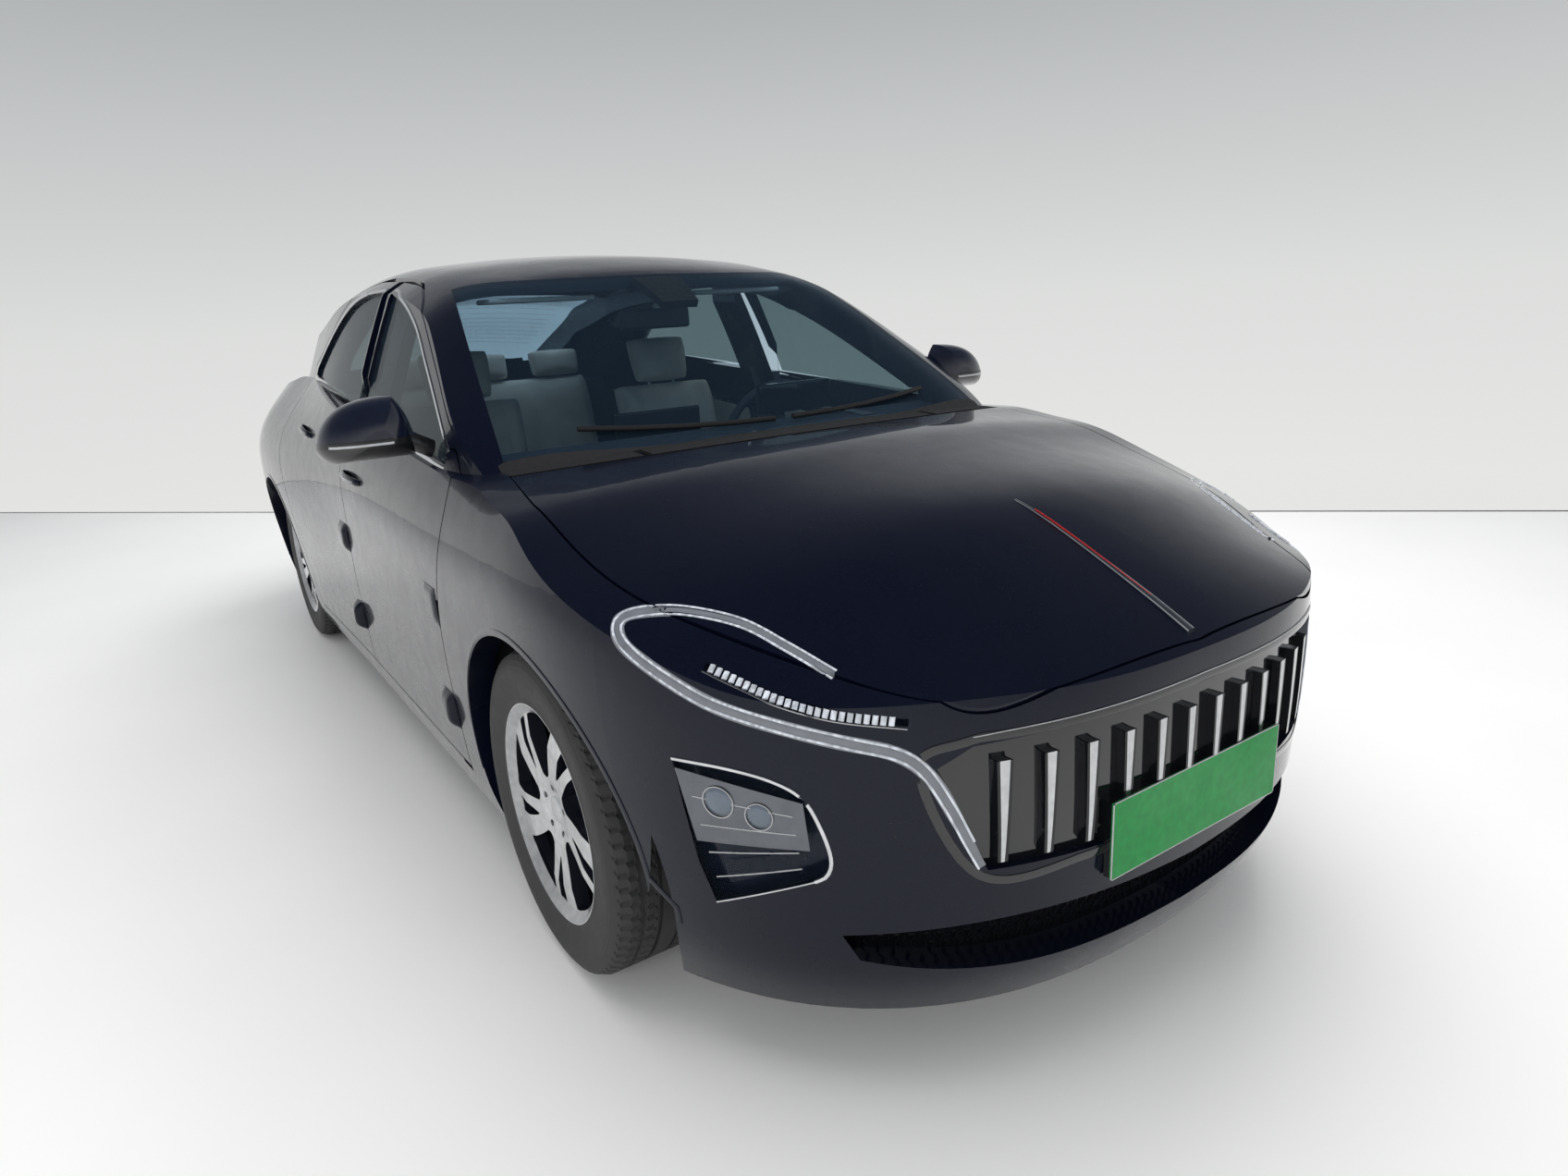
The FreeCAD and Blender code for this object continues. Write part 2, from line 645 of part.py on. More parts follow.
def rear_door_runs(grow):
    sill = level(DOOR_SILL_SHARE) - grow
    middle = [Vector(station(x) - SHUT_GAP / 2 + grow, 0, level(z)) for x, z in MIDDLE_LINE_SHARES]
    middle[0].z = sill
    middle[-1].z = window_top(middle[-1].x, FRAME_BORDER + grow)
    rear = [Vector(station(x) - grow, 0, level(z)) for x, z in REAR_LINE_SHARES]
    rear[0].z = sill
    rear[-1].z = window_top(rear[-1].x, FRAME_BORDER + grow)
    frame = frame_top(middle[-1].x, rear[-1].x, 9, grow)
    return [[middle[0]], middle[1:], frame[1:], list(reversed(rear[:-1]))]


def recess_runs(grow):
    sill = level(DOOR_SILL_SHARE) - grow
    front = station(DOOR_FRONT_SHARE)
    rear = [Vector(station(x) - grow, 0, level(z)) for x, z in REAR_LINE_SHARES]
    rear[0].z = sill
    rear[-1].z = window_top(rear[-1].x, FRAME_BORDER + grow)
    frame = frame_top(station(FRAME_FRONT_SHARE), rear[-1].x, REAR_FRAME_POINTS, grow)
    return [[Vector(front, 0, sill)], [Vector(front, 0, frame[0].z)], [frame[0]], frame[1:],
            list(reversed(rear[:-1]))]


def hinge_round(pairs, hinge, hinge_y, grow):
    """Solid turned about a door's hinge axis, as wide as the door's front edge stands before it."""
    points = [Vector(station(x) - hinge, 0, level(z)) for x, z in pairs]
    side = []
    for point in points:
        skin = min(half_width(hinge + point.x, point.z / HEIGHT), -door_reference())
        if point.z > level(GLASS_KNEE_SHARE):
            skin = cabin_side(hinge + point.x, point.z)
        side.append(Vector(math.hypot(point.x, -hinge_y - skin) + grow, 0, point.z))
    low, high = side[0].z - grow, side[-1].z + grow
    runs = [[Vector(0, 0, low)], [Vector(side[0].x, 0, low)], [side[0]], side,
            [Vector(side[-1].x, 0, high)],
            [Vector(0, 0, high)]]
    turned = Part.Face(outline(runs)).revolve(Vector(), Vector(0, 0, 1), 360)
    turned.translate(Vector(hinge, hinge_y, 0))
    return turned


def behind(x):
    """Everything behind one place along the car."""
    return Part.makeBox(LENGTH, 2 * WIDTH, 2 * HEIGHT, Vector(x - LENGTH, -WIDTH, 0))


FRONT_HINGE = Vector(station(FRONT_HINGE_SHARE), -reach(FRONT_HINGE_REACH_SHARE), 0)
REAR_HINGE = Vector(station(REAR_HINGE_SHARE), -reach(REAR_HINGE_REACH_SHARE), 0)


def front_cut(grow):
    return hinge_round(FRONT_EDGE_SHARES, FRONT_HINGE.x, FRONT_HINGE.y, grow)


def rear_cut(grow):
    middle = [(x - SHUT_GAP / 2 / WHEELBASE, z) for x, z in MIDDLE_LINE_SHARES[:-1]]
    middle[0] = (middle[0][0], DOOR_SILL_SHARE)
    return hinge_round(middle, REAR_HINGE.x, REAR_HINGE.y, grow)


def window_hole(ends):
    """Window opening in a door, between the frame above and the belt below."""
    first, last = [station(share) for share in ends]
    low = [Vector(x, 0, window_belt(x, BELT_BORDER)) for x in spread(first, last, 4)]
    high = [Vector(x, 0, window_top(x, -FRAME_BORDER)) for x in spread(last, first, 7)]
    return [[low[0]], low[1:], [high[0]], high[1:]]


def through(runs):
    """Prism across the right side only."""
    placed = [[Vector(p.x, -WIDTH, p.z) for p in run] for run in runs]
    return prism(placed, Vector(0, WIDTH * HOLE_REACH_SHARE, 0))


# Large cuts


def plan_points(pairs, side=1):
    return [Vector(station(x), side * reach(y), 0) for x, y in pairs]


def plan_prism(halves, bottom):
    """Upright prism over a closed plan outline given by its half on the left side."""
    right = [[Vector(p.x, -p.y, bottom) for p in run] for run in halves]
    left = [[Vector(p.x, p.y, bottom) for p in reversed(run)] for run in reversed(halves)]
    edges = [curve(run) for run in right + left if run[0].distanceToPoint(run[-1]) > 0.01]
    wire = Part.Wire(Part.__sortEdges__(edges))
    return Part.Face(wire).extrude(Vector(0, 0, HEIGHT))


def wheel_cylinder(x, radius, inner, outer, side=-1):
    base = Vector(x, side * inner, AXLE_HEIGHT)
    return Part.makeCylinder(radius, outer - inner, base, Vector(0, side, 0))


def both(shape):
    return shape.fuse(mirrored(shape))


def liner_reach():
    """Where the wheelhouse liner meets the inside of the front wing."""
    return half_width(FRONT_AXLE, AXLE_HEIGHT / HEIGHT) - PANEL_WALL


def arches():
    """Front and rear wheel openings on both sides."""
    spaces = []
    for side in (-1, 1):
        spaces.append(wheel_cylinder(FRONT_AXLE, ARCH_RADIUS, WHEELHOUSE_INNER, WIDTH, side))
        spaces.append(wheel_cylinder(REAR_AXLE, ARCH_RADIUS, WHEELHOUSE_INNER, WIDTH, side))
        spaces.append(wheel_cylinder(FRONT_AXLE, LINER_RADIUS + LINER_WALL, WHEELHOUSE_INNER,
                                     liner_reach(), side))
    whole = spaces[0]
    for space in spaces[1:]:
        whole = whole.fuse(space)
    return whole


def bonnet_prism(grow):
    """Prism of the bonnet's shut line, drafted so that its front lifts clear of the bumper."""
    base = level(BONNET_BASE_SHARE)

    def placed(x, y, z):
        height = level(z) - base
        return Vector(station(x) + grow - BONNET_DRAFT_SHARE * height, reach(y), base)
    rear = [placed(*row) for row in BONNET_REAR_SHARES]
    for point in rear:
        point.x -= grow + grow * BONNET_REAR_GAP / SHUT_GAP
    side = [placed(*row) for row in BONNET_SIDE_SHARES]
    for point in side[:4]:
        point.y += grow
    halves = [rear, [rear[-1], side[0]], side]
    right = [[Vector(p.x, -p.y, base) for p in run] for run in halves]
    edges = [curve(run) for run in halves + right]
    wire = Part.Wire(Part.__sortEdges__(edges))
    rise = HEIGHT
    return Part.Face(wire).extrude(Vector(BONNET_DRAFT_SHARE * rise, 0, rise))


def windscreen_prism():
    rows = [WINDSCREEN_LOW_SHARES, list(reversed(WINDSCREEN_SHARES)), WINDSCREEN_TOP_SHARES]
    halves = [plan_points(list(reversed(rows[0]))), plan_points(WINDSCREEN_SHARES),
              plan_points(rows[2])]
    return plan_prism(halves, level(BONNET_BASE_SHARE))


def roof_prism():
    halves = [plan_points(list(reversed(WINDSCREEN_TOP_SHARES))), plan_points(DITCH_SHARES),
              plan_points(REAR_WINDOW_TOP_SHARES)]
    return plan_prism(halves, level(BONNET_BASE_SHARE))


def rear_window_prism():
    halves = [plan_points(list(reversed(REAR_WINDOW_TOP_SHARES))), plan_points(REAR_WINDOW_SHARES),
              plan_points(REAR_WINDOW_LOW_SHARES)]
    return plan_prism(halves, level(BONNET_BASE_SHARE))


def lid_prism(grow):
    """Boot lid from behind: it narrows to its foot above the bumper."""
    glass_end = min(station(x) for x, y in REAR_WINDOW_LOW_SHARES)
    front = glass_end - LID_FRONT_GAP + grow * LID_FRONT_GAP / SHUT_GAP
    half, foot = reach(LID_HALF_SHARE) + grow, reach(LID_FOOT_SHARE) + grow
    low, knee = level(LID_LOW_SHARE) - grow, level(TAIL_LAMP_LOW_SHARE)
    points = [(-foot, low), (foot, low), (half, knee), (half, HEIGHT), (-half, HEIGHT), (-half, knee)]
    face = Part.Face(Part.makePolygon([Vector(front, y, z) for y, z in points + points[:1]]))
    return face.extrude(Vector(-LENGTH, 0, 0))


def door_hinges(hinge):
    """Hinges of a right door: the frame's arms with eyes, notches that clear them, the door's pins."""
    arms, notches, pins = [], [], []
    for share in HINGE_HEIGHT_SHARES:
        low, high = level(share), level(share) + HINGE_HEIGHT
        foot, head = Vector(hinge.x, hinge.y, low), Vector(hinge.x, hinge.y, high)
        root = -reach(HINGE_ROOT_SHARE)
        eye = rod(foot, head, HINGE_EYE_RADIUS)
        arm = box((hinge.x - HINGE_ARM_HALF, hinge.y, low), (hinge.x + HINGE_ARM_HALF, root, high))
        arms.append(eye.fuse(arm).cut(rod(foot, head, HINGE_PIN_RADIUS + HINGE_CLEARANCE)))
        room = HINGE_EYE_RADIUS + SHUT_GAP
        notches.append(box((hinge.x - room, hinge.y - room, low - SHUT_GAP),
                           (hinge.x + WIDTH, 0, high + SHUT_GAP)))
        pins.append(rod(foot - Vector(0, 0, room), head + Vector(0, 0, room), HINGE_PIN_RADIUS))
    return arms, notches, pins


def bonnet_hinge():
    """Right bonnet hinge: the bonnet's arm, the slot that clears it and the pin across the slot."""
    x, half, z = BONNET_HINGE_SHARES
    centre = Vector(station(x), -reach(half), level(z))
    side = Vector(0, BONNET_ARM_HALF, 0)
    room = BONNET_ARM_HALF + SHUT_GAP
    eye = rod(centre - side, centre + side, BONNET_EYE_RADIUS)
    arm = box((centre.x, centre.y - BONNET_ARM_HALF, centre.z - BONNET_EYE_RADIUS),
              (centre.x + BONNET_ARM_LENGTH, centre.y + BONNET_ARM_HALF, centre.z + BONNET_PIN_RADIUS))
    bore = rod(centre - side, centre + side, BONNET_PIN_RADIUS + HINGE_CLEARANCE)
    slot = box((centre.x - BONNET_EYE_RADIUS - SHUT_GAP, centre.y - room,
                centre.z - BONNET_EYE_RADIUS - SHUT_GAP),
               (centre.x + BONNET_ARM_LENGTH, centre.y + room, HEIGHT))
    pin = rod(centre - Vector(0, 2 * room, 0), centre + Vector(0, 2 * room, 0), BONNET_PIN_RADIUS)
    return eye.fuse(arm).cut(bore), slot, pin


def lid_hinge():
    """Right boot-lid hinge: the lid's neck with its eye, the frame's shaft and bracket, the neck's way."""
    x, half, z = LID_HINGE_SHARES
    centre = Vector(station(x), -reach(half), level(z))
    side = Vector(0, HINGE_ARM_HALF, 0)
    path = [centre + Vector(along, 0, up) * SWAN_NECK_REACH for along, up in SWAN_NECK_SHARES]
    runs = [rod(start, end, SWAN_NECK_RADIUS) for start, end in zip(path, path[1:])]
    bends = [Part.makeSphere(SWAN_NECK_RADIUS, point) for point in path[1:-1]]
    eye = rod(centre - side, centre + side, HINGE_EYE_RADIUS)
    bore = rod(centre - side, centre + side, HINGE_PIN_RADIUS + HINGE_CLEARANCE)
    end = -reach(LID_SHAFT_END_SHARE)
    low = centre.z - HINGE_HEIGHT - HINGE_PIN_RADIUS
    shaft = rod(centre + side, Vector(centre.x, end, centre.z), HINGE_PIN_RADIUS)
    lug = box((centre.x - HINGE_ARM_HALF, end, low),
              (centre.x + HINGE_ARM_HALF, end + HINGE_EYE_RADIUS, centre.z + HINGE_PIN_RADIUS))
    bracket = box((centre.x - HINGE_ARM_HALF, -reach(LID_BRACKET_SHARE), low),
                  (centre.x + HINGE_ARM_HALF, end, centre.z - HINGE_PIN_RADIUS))
    way = box((centre.x - 2 * SWAN_NECK_REACH, centre.y - SWAN_NECK_RADIUS - SHUT_GAP, 0),
              (centre.x, 0, HEIGHT))
    return join([eye] + runs + bends).cut(bore), join([shaft, lug, bracket]), way


def side_prism(runs):
    placed = [[Vector(p.x, -WIDTH, p.z) for p in run] for run in runs]
    return prism(placed, Vector(0, 2 * WIDTH, 0))


def front_zone():
    """Everything before the line between front wing and bumper."""
    split = [Vector(station(x), 0, level(z)) for x, z in WING_SPLIT_SHARES]
    low, high = Vector(FRONT_AXLE, 0, 0), Vector(split[-1].x, 0, HEIGHT)
    ahead = LENGTH
    return side_prism([[low], [Vector(FRONT_AXLE, 0, split[0].z)], [split[0]], split[1:], [high],
                       [Vector(ahead, 0, HEIGHT)], [Vector(ahead, 0, 0)]])


def rear_zone():
    """Everything below and behind the line between quarter panel and rear bumper."""
    split = [Vector(station(x), 0, level(z)) for x, z in REAR_SPLIT_SHARES]
    return side_prism([[Vector(REAR_AXLE, 0, 0)], [Vector(REAR_AXLE, 0, split[0].z)], [split[0]],
                       split[1:],
                       [Vector(split[-1].x, 0, 0)]])


def join(shapes):
    whole = shapes[0]
    for shape in shapes[1:]:
        whole = whole.fuse(shape)
    return whole


def box(low, high):
    """Box between two opposite corners."""
    size = Vector(*high).sub(Vector(*low))
    return Part.makeBox(size.x, size.y, size.z, Vector(*low))


def rod(start, end, radius):
    line = end.sub(start)
    return Part.makeCylinder(radius, line.Length, start, line)


def sheet(points, wall, half):
    """Folded plate across the car: its side outline is a path with a wall below and behind it."""
    count = len(points)
    offsets = []
    for number in range(count):
        before = points[max(0, number - 1)]
        after = points[min(count - 1, number + 1)]
        here = points[number]
        first = here.sub(before).normalize() if number else after.sub(here).normalize()
        second = after.sub(here).normalize() if number < count - 1 else first
        middle = first.add(second).normalize()
        normal = Vector(-middle.z, 0, middle.x)
        scale = wall / max(0.3, normal.dot(Vector(-first.z, 0, first.x)))
        offsets.append(here.add(normal * scale))
    ring = points + list(reversed(offsets))
    placed = [Vector(p.x, -half, p.z) for p in ring]
    return Part.Face(Part.makePolygon(placed + placed[:1])).extrude(Vector(0, 2 * half, 0))


# Wheels: turned about their own axle and then set in place


def turned(pairs):
    """Solid turned about the Y axis from its half section: radius and place along the axle."""
    points = [Vector(radius, along, 0) for radius, along in pairs]
    return Part.Face(Part.makePolygon(points + points[:1])).revolve(Vector(), Vector(0, 1, 0), 360)


def tyre():
    half = TYRE_WIDTH / 2
    bead = RIM_DIAMETER / 2 - RIM_SEAT
    outer = TYRE_DIAMETER / 2
    tread = half - TYRE_SHOULDER
    rim_half = RIM_WIDTH / 2
    corner = math.sqrt(0.5)
    shoulder = TYRE_SHOULDER * (1 - corner)
    wall = (bead + outer) / 2
    points = [(bead, -rim_half), (wall, -half), (outer - TYRE_SHOULDER, -half),
              (outer - shoulder, -half + shoulder),
              (outer, -tread), (outer, tread), (outer - shoulder, half - shoulder),
              (outer - TYRE_SHOULDER, half), (wall, half), (bead, rim_half)]
    return turned(points)


def rim_opening(runs, fifth, radius):
    """One opening right through the wheel's face, as shares of the radius and of a fifth turn."""
    turn = 2 * math.pi / SPOKE_PAIRS
    placed = []
    for run in runs:
        angles = [(out * radius, (fifth + place + SWIRL_SHARE * (1 - out)) * turn) for out,
                  place in run]
        placed.append([Vector(far * math.cos(angle), -RIM_WIDTH, far * math.sin(angle)) for far,
                       angle in angles])
    return prism(placed, Vector(0, 2 * RIM_WIDTH, 0))


def rim():
    """Barrel, and a dished face with five pockets between five split spokes; the outer face is towards -Y."""
    half = RIM_WIDTH / 2
    seat = RIM_DIAMETER / 2 - RIM_SEAT
    inner = seat - RIM_WALL
    flange = RIM_DIAMETER / 2 - RIM_SEAT / 2
    barrel = turned([(seat, -half), (flange, -half - RIM_LIP), (flange - RIM_WALL, -half - RIM_LIP),
                     (inner - RIM_WALL, -half + SPOKE_INSET), (inner,
                                                               -half + SPOKE_INSET + SPOKE_DEPTH),
                                                               (inner, half),
                     (seat, half)])
    face = -half + SPOKE_INSET
    back = DISC_OFFSET
    disc = turned([(0, face + HUB_SINK), (CAP_RADIUS, face + HUB_SINK), (HUB_RADIUS, face),
                   (seat * FACE_RISE_SHARE, face - FACE_RISE),
                   (inner, face), (inner, face + SPOKE_DEPTH), (CALLIPER_INNER - PAD_GAP,
                                                                face + SPOKE_DEPTH),
                   (HUB_RADIUS, back), (0, back)])
    for fifth in range(SPOKE_PAIRS):
        for runs in (POCKET_SHARES, SLOT_SHARES):
            disc = disc.cut(rim_opening(runs, fifth, inner))
    stub_end = back + DISC_THICKNESS + BEARING_GAP + STUB_LENGTH - PAD_GAP
    brake = turned([(0, back), (DISC_DIAMETER / 2, back), (DISC_DIAMETER / 2, back + DISC_THICKNESS),
                    (STUB_RADIUS, back + DISC_THICKNESS), (STUB_RADIUS, stub_end), (0, stub_end)])
    return join([disc, barrel, brake])


def at_wheel(shape, x, side):
    """Sets a wheel piece whose outer face is towards -Y on one side of the car."""
    copy = shape if side < 0 else mirrored(shape)
    placed = copy.copy()
    placed.translate(Vector(x, side * TRACK / 2, AXLE_HEIGHT))
    return placed


# Front lamps and grille


def lamp_plane(rows):
    """Skin points of the right side moved along the lamps' own direction into one plane."""
    lean = Vector(*LAMP_LEAN_SHARES).normalize()
    points = [Vector(station(x), -reach(y), level(z)) for x, y, z in rows]
    return [p.sub(lean * p.dot(lean)) for p in points], lean


def lamp_band(rows, width, tip):
    """Prism of a band along a path, narrower at its two ends."""
    points, lean = lamp_plane(rows)
    count = len(points)
    left, right = [], []
    for number, point in enumerate(points):
        along = points[min(count - 1, number + 1)].sub(points[max(0, number - 1)]).normalize()
        across = along.cross(lean)
        near_end = min(number, count - 1 - number) / 2
        half = (tip + (width - tip) * min(1.0, near_end)) / 2
        left.append(point.add(across * half))
        right.append(point.sub(across * half))
    right.reverse()
    face = Part.Face(outline([left, [right[0]], right]))
    face.translate(lean * (LENGTH * LAMP_START_SHARE))
    return face.extrude(lean * (LENGTH * LAMP_DEPTH_SHARE))


def lamp_block(runs):
    lean = Vector(*LAMP_LEAN_SHARES).normalize()
    face = Part.Face(outline([lamp_plane(run)[0] for run in runs]))
    face.translate(lean * (LENGTH * LAMP_START_SHARE))
    return face.extrude(lean * (LENGTH * LAMP_DEPTH_SHARE))


def nose_prism(halves, grow=0.0):
    """Prism along the car over a front outline given by its left half from the top middle down."""
    runs = [[Vector(station(1.0), reach(y) + (grow if y else 0), level(z)) for y,
             z in run] for run in halves]
    middle = (runs[0][0].z + runs[-1][-1].z) / 2
    for run in runs:
        for point in run:
            point.z += math.copysign(grow, point.z - middle)
    edges = []
    last = None
    for run in runs:
        points = run if last is None else [last] + run
        for side in (1, -1):
            if len(points) > 1:
                edges.append(curve([Vector(p.x, side * p.y, p.z) for p in points]))
        last = run[-1]
    face = Part.Face(Part.Wire(Part.__sortEdges__(edges)))
    return face.extrude(Vector(LENGTH, 0, 0))


def grille_bar(number):
    y = (number - (BAR_COUNT - 1) / 2) * BAR_PITCH
    top, foot = level(BAR_TOP_SHARE), level(BAR_FOOT_SHARE)
    x = station(BAR_PLACE_SHARE)
    corners = [(y - BAR_TOP_WIDTH / 2, top), (y + BAR_TOP_WIDTH / 2, top),
               (y + BAR_FOOT_WIDTH / 2, foot),
               (y - BAR_FOOT_WIDTH / 2, foot)]
    points = [Vector(x, across, z) for across, z in corners]
    return Part.Face(Part.makePolygon(points + points[:1])).extrude(Vector(LENGTH, 0, 0))


# Running gear


def at(x, y, z):
    return Vector(x, y, z)


def knuckle():
    """Right front hub carrier: bearing ring, foot, gooseneck over the tyre and brake calliper."""
    centre = Vector(FRONT_AXLE, -TRACK / 2, AXLE_HEIGHT)
    axis_y = -(TRACK / 2 - STEER_INSET)
    disc_back = -TRACK / 2 + DISC_OFFSET + DISC_THICKNESS
    ring_face = disc_back + BEARING_GAP
    ring = Part.makeCylinder(RING_RADIUS, axis_y - ring_face, Vector(centre.x, ring_face, centre.z),
                             Vector(0, 1, 0))
    bore = Part.makeCylinder(STUB_RADIUS + BEARING_CLEARANCE, WIDTH,
                             Vector(centre.x, -WIDTH, centre.z), Vector(0, 1, 0))
    wide = Part.makeCylinder(JOINT_BORE, WIDTH, Vector(centre.x, ring_face + STUB_LENGTH, centre.z),
                             Vector(0, 1, 0))
    foot = box((centre.x - ARM_HALF, axis_y - ARM_HALF, LOWER_ARM_HEIGHT + ARM_HALF + PIN_GAP),
               (centre.x + ARM_HALF, axis_y + BALL_PIN_RADIUS, centre.z - JOINT_BORE))
    neck_y = -(TRACK / 2 - TYRE_WIDTH / 2 - NECK_GAP)
    shoulder = box((centre.x - ARM_HALF, axis_y - ARM_HALF, centre.z + JOINT_BORE),
                   (centre.x + ARM_HALF, neck_y + NECK_WALL, centre.z + JOINT_BORE + 2 * NECK_WALL))
    post = box((centre.x - ARM_HALF, neck_y, centre.z + JOINT_BORE),
               (centre.x + ARM_HALF, neck_y + NECK_WALL, UPPER_ARM_HEIGHT - PIN_GAP))
    top = box((centre.x - ARM_HALF, axis_y - ARM_HALF, UPPER_ARM_HEIGHT - NECK_WALL - PIN_GAP),
              (centre.x + ARM_HALF, neck_y, UPPER_ARM_HEIGHT - PIN_GAP))
    low_pin = rod(Vector(centre.x, axis_y, LOWER_ARM_HEIGHT + ARM_WALL / 2 + BALL_CLEARANCE),
                  Vector(centre.x, axis_y, LOWER_ARM_HEIGHT + ARM_HALF + 2 * PIN_GAP), BALL_PIN_RADIUS)
    high_pin = rod(Vector(centre.x, axis_y, UPPER_ARM_HEIGHT - NECK_WALL),
                   Vector(centre.x, axis_y, UPPER_ARM_HEIGHT - BALL_CLEARANCE),
                   BALL_PIN_RADIUS)
    solid = join([ring, foot, shoulder, post, top, calliper(centre)]).cut(bore).cut(wide)
    return join([solid, low_pin, high_pin])


def calliper(centre):
    """Brake calliper behind the axle, round the edge of the disc."""
    face = centre.y + DISC_OFFSET
    low = Vector(centre.x - CALLIPER_OUTER, face - CALLIPER_WALL, centre.z - CALLIPER_HALF)
    size = Vector(CALLIPER_OUTER - CALLIPER_INNER, DISC_THICKNESS + 2 * CALLIPER_WALL,
                  2 * CALLIPER_HALF)
    block = Part.makeBox(size.x, size.y, size.z, low)
    slot = Part.makeCylinder(DISC_DIAMETER / 2 + PAD_GAP, DISC_THICKNESS + 2 * PAD_GAP,
                             Vector(centre.x, face - PAD_GAP, centre.z), Vector(0, 1, 0))
    envelope = Part.makeCylinder(CALLIPER_OUTER, WIDTH, Vector(centre.x, -WIDTH, centre.z),
                                 Vector(0, 1, 0))
    bracket = box((centre.x - CALLIPER_INNER - ARM_HALF, face + DISC_THICKNESS + BEARING_GAP,
                   centre.z - ARM_HALF),
                  (centre.x - RING_RADIUS + BRACKET_LAP, face + DISC_THICKNESS + CALLIPER_WALL,
                   centre.z + ARM_HALF))
    return block.common(envelope).cut(slot).fuse(bracket)


def control_arm(x, inner_y, outer_y, z, half_spread):
    """Flat wishbone on the right side from two bushes to a ball joint."""
    half = ARM_WALL / 2
    corners = [(x - half_spread, inner_y), (x - ARM_HALF, outer_y), (x + ARM_HALF, outer_y),
               (x + half_spread, inner_y)]
    points = [Vector(a, b, z - half) for a, b in corners]
    arm = Part.Face(Part.makePolygon(points + points[:1])).extrude(Vector(0, 0, ARM_WALL))
    ball = Part.makeCylinder(ARM_HALF, ARM_WALL, Vector(x, outer_y, z - half))
    return arm.fuse(ball)


def front_suspension_half():
    x = FRONT_AXLE
    axis_y = -(TRACK / 2 - STEER_INSET)
    lower = control_arm(x, -LOWER_BUSH_INSET, axis_y, LOWER_ARM_HEIGHT, LOWER_BUSH_HALF)
    upper = control_arm(x, -WHEELHOUSE_INNER, axis_y, UPPER_ARM_HEIGHT + ARM_WALL / 2, UPPER_BUSH_HALF)
    damper_foot = at(x + DAMPER_SHIFT, -(LOWER_BUSH_INSET + DAMPER_INSET), LOWER_ARM_HEIGHT)
    damper_head = at(x + DAMPER_SHIFT, -(WHEELHOUSE_INNER + SPRING_RADIUS),
                     AXLE_HEIGHT + LINER_RADIUS * DAMPER_TOP_SHARE)
    return lower, upper, rod(damper_foot, damper_head, DAMPER_RADIUS)


def front_suspension():
    half = SUBFRAME_LENGTH / 2
    lower, upper, damper = front_suspension_half()
    right = join([lower, damper])
    frame = box((FRONT_AXLE - half, -LOWER_BUSH_INSET, LOWER_ARM_HEIGHT - SUBFRAME_HEIGHT / 2),
                (FRONT_AXLE + half, LOWER_BUSH_INSET, LOWER_ARM_HEIGHT + SUBFRAME_HEIGHT / 2))
    hole = box((FRONT_AXLE - half / 2, -LOWER_BUSH_INSET / 2, 0),
               (FRONT_AXLE + half / 2, LOWER_BUSH_INSET / 2, HEIGHT))
    return Part.makeCompound([join([frame.cut(hole), right, mirrored(right)]), upper, mirrored(upper)])


def rear_suspension():
    """Subframe, arms, hub carriers, springs and callipers of the rear axle."""
    half = SUBFRAME_LENGTH / 2
    x = REAR_AXLE
    centre = Vector(x, -TRACK / 2, AXLE_HEIGHT)
    ring_face = centre.y + DISC_OFFSET + DISC_THICKNESS + BEARING_GAP
    carrier = Part.makeCylinder(RING_RADIUS, 2 * STUB_LENGTH, Vector(x, ring_face, AXLE_HEIGHT),
                                Vector(0, 1, 0))
    bore = Part.makeCylinder(STUB_RADIUS + BEARING_CLEARANCE, STUB_LENGTH,
                             Vector(x, ring_face, AXLE_HEIGHT),
                             Vector(0, 1, 0))
    carrier_inner = ring_face + STUB_LENGTH
    lower = control_arm(x, -LOWER_BUSH_INSET, carrier_inner, LOWER_ARM_HEIGHT + SUBFRAME_HEIGHT,
                        LOWER_BUSH_HALF)
    post = box((x - ARM_HALF, carrier_inner, LOWER_ARM_HEIGHT + SUBFRAME_HEIGHT),
               (x + ARM_HALF, carrier_inner + ARM_WALL, AXLE_HEIGHT))
    spring_y = -(LOWER_BUSH_INSET + DAMPER_INSET)
    spring = rod(at(x, spring_y, LOWER_ARM_HEIGHT + SUBFRAME_HEIGHT),
                 at(x, spring_y, level(BOOT_FLOOR_SHARE) - FLOOR_WALL),
                 SPRING_RADIUS)
    right = join([carrier.cut(bore), post, lower, spring, calliper(centre)]).cut(bore)
    frame = box((x - half, -LOWER_BUSH_INSET, LOWER_ARM_HEIGHT + SUBFRAME_HEIGHT / 2),
                (x + half, LOWER_BUSH_INSET, LOWER_ARM_HEIGHT + 1.5 * SUBFRAME_HEIGHT))
    hole = box((x - half / 2, -LOWER_BUSH_INSET / 2, 0), (x + half / 2, LOWER_BUSH_INSET / 2, HEIGHT))
    return join([frame.cut(hole), right, mirrored(right)])


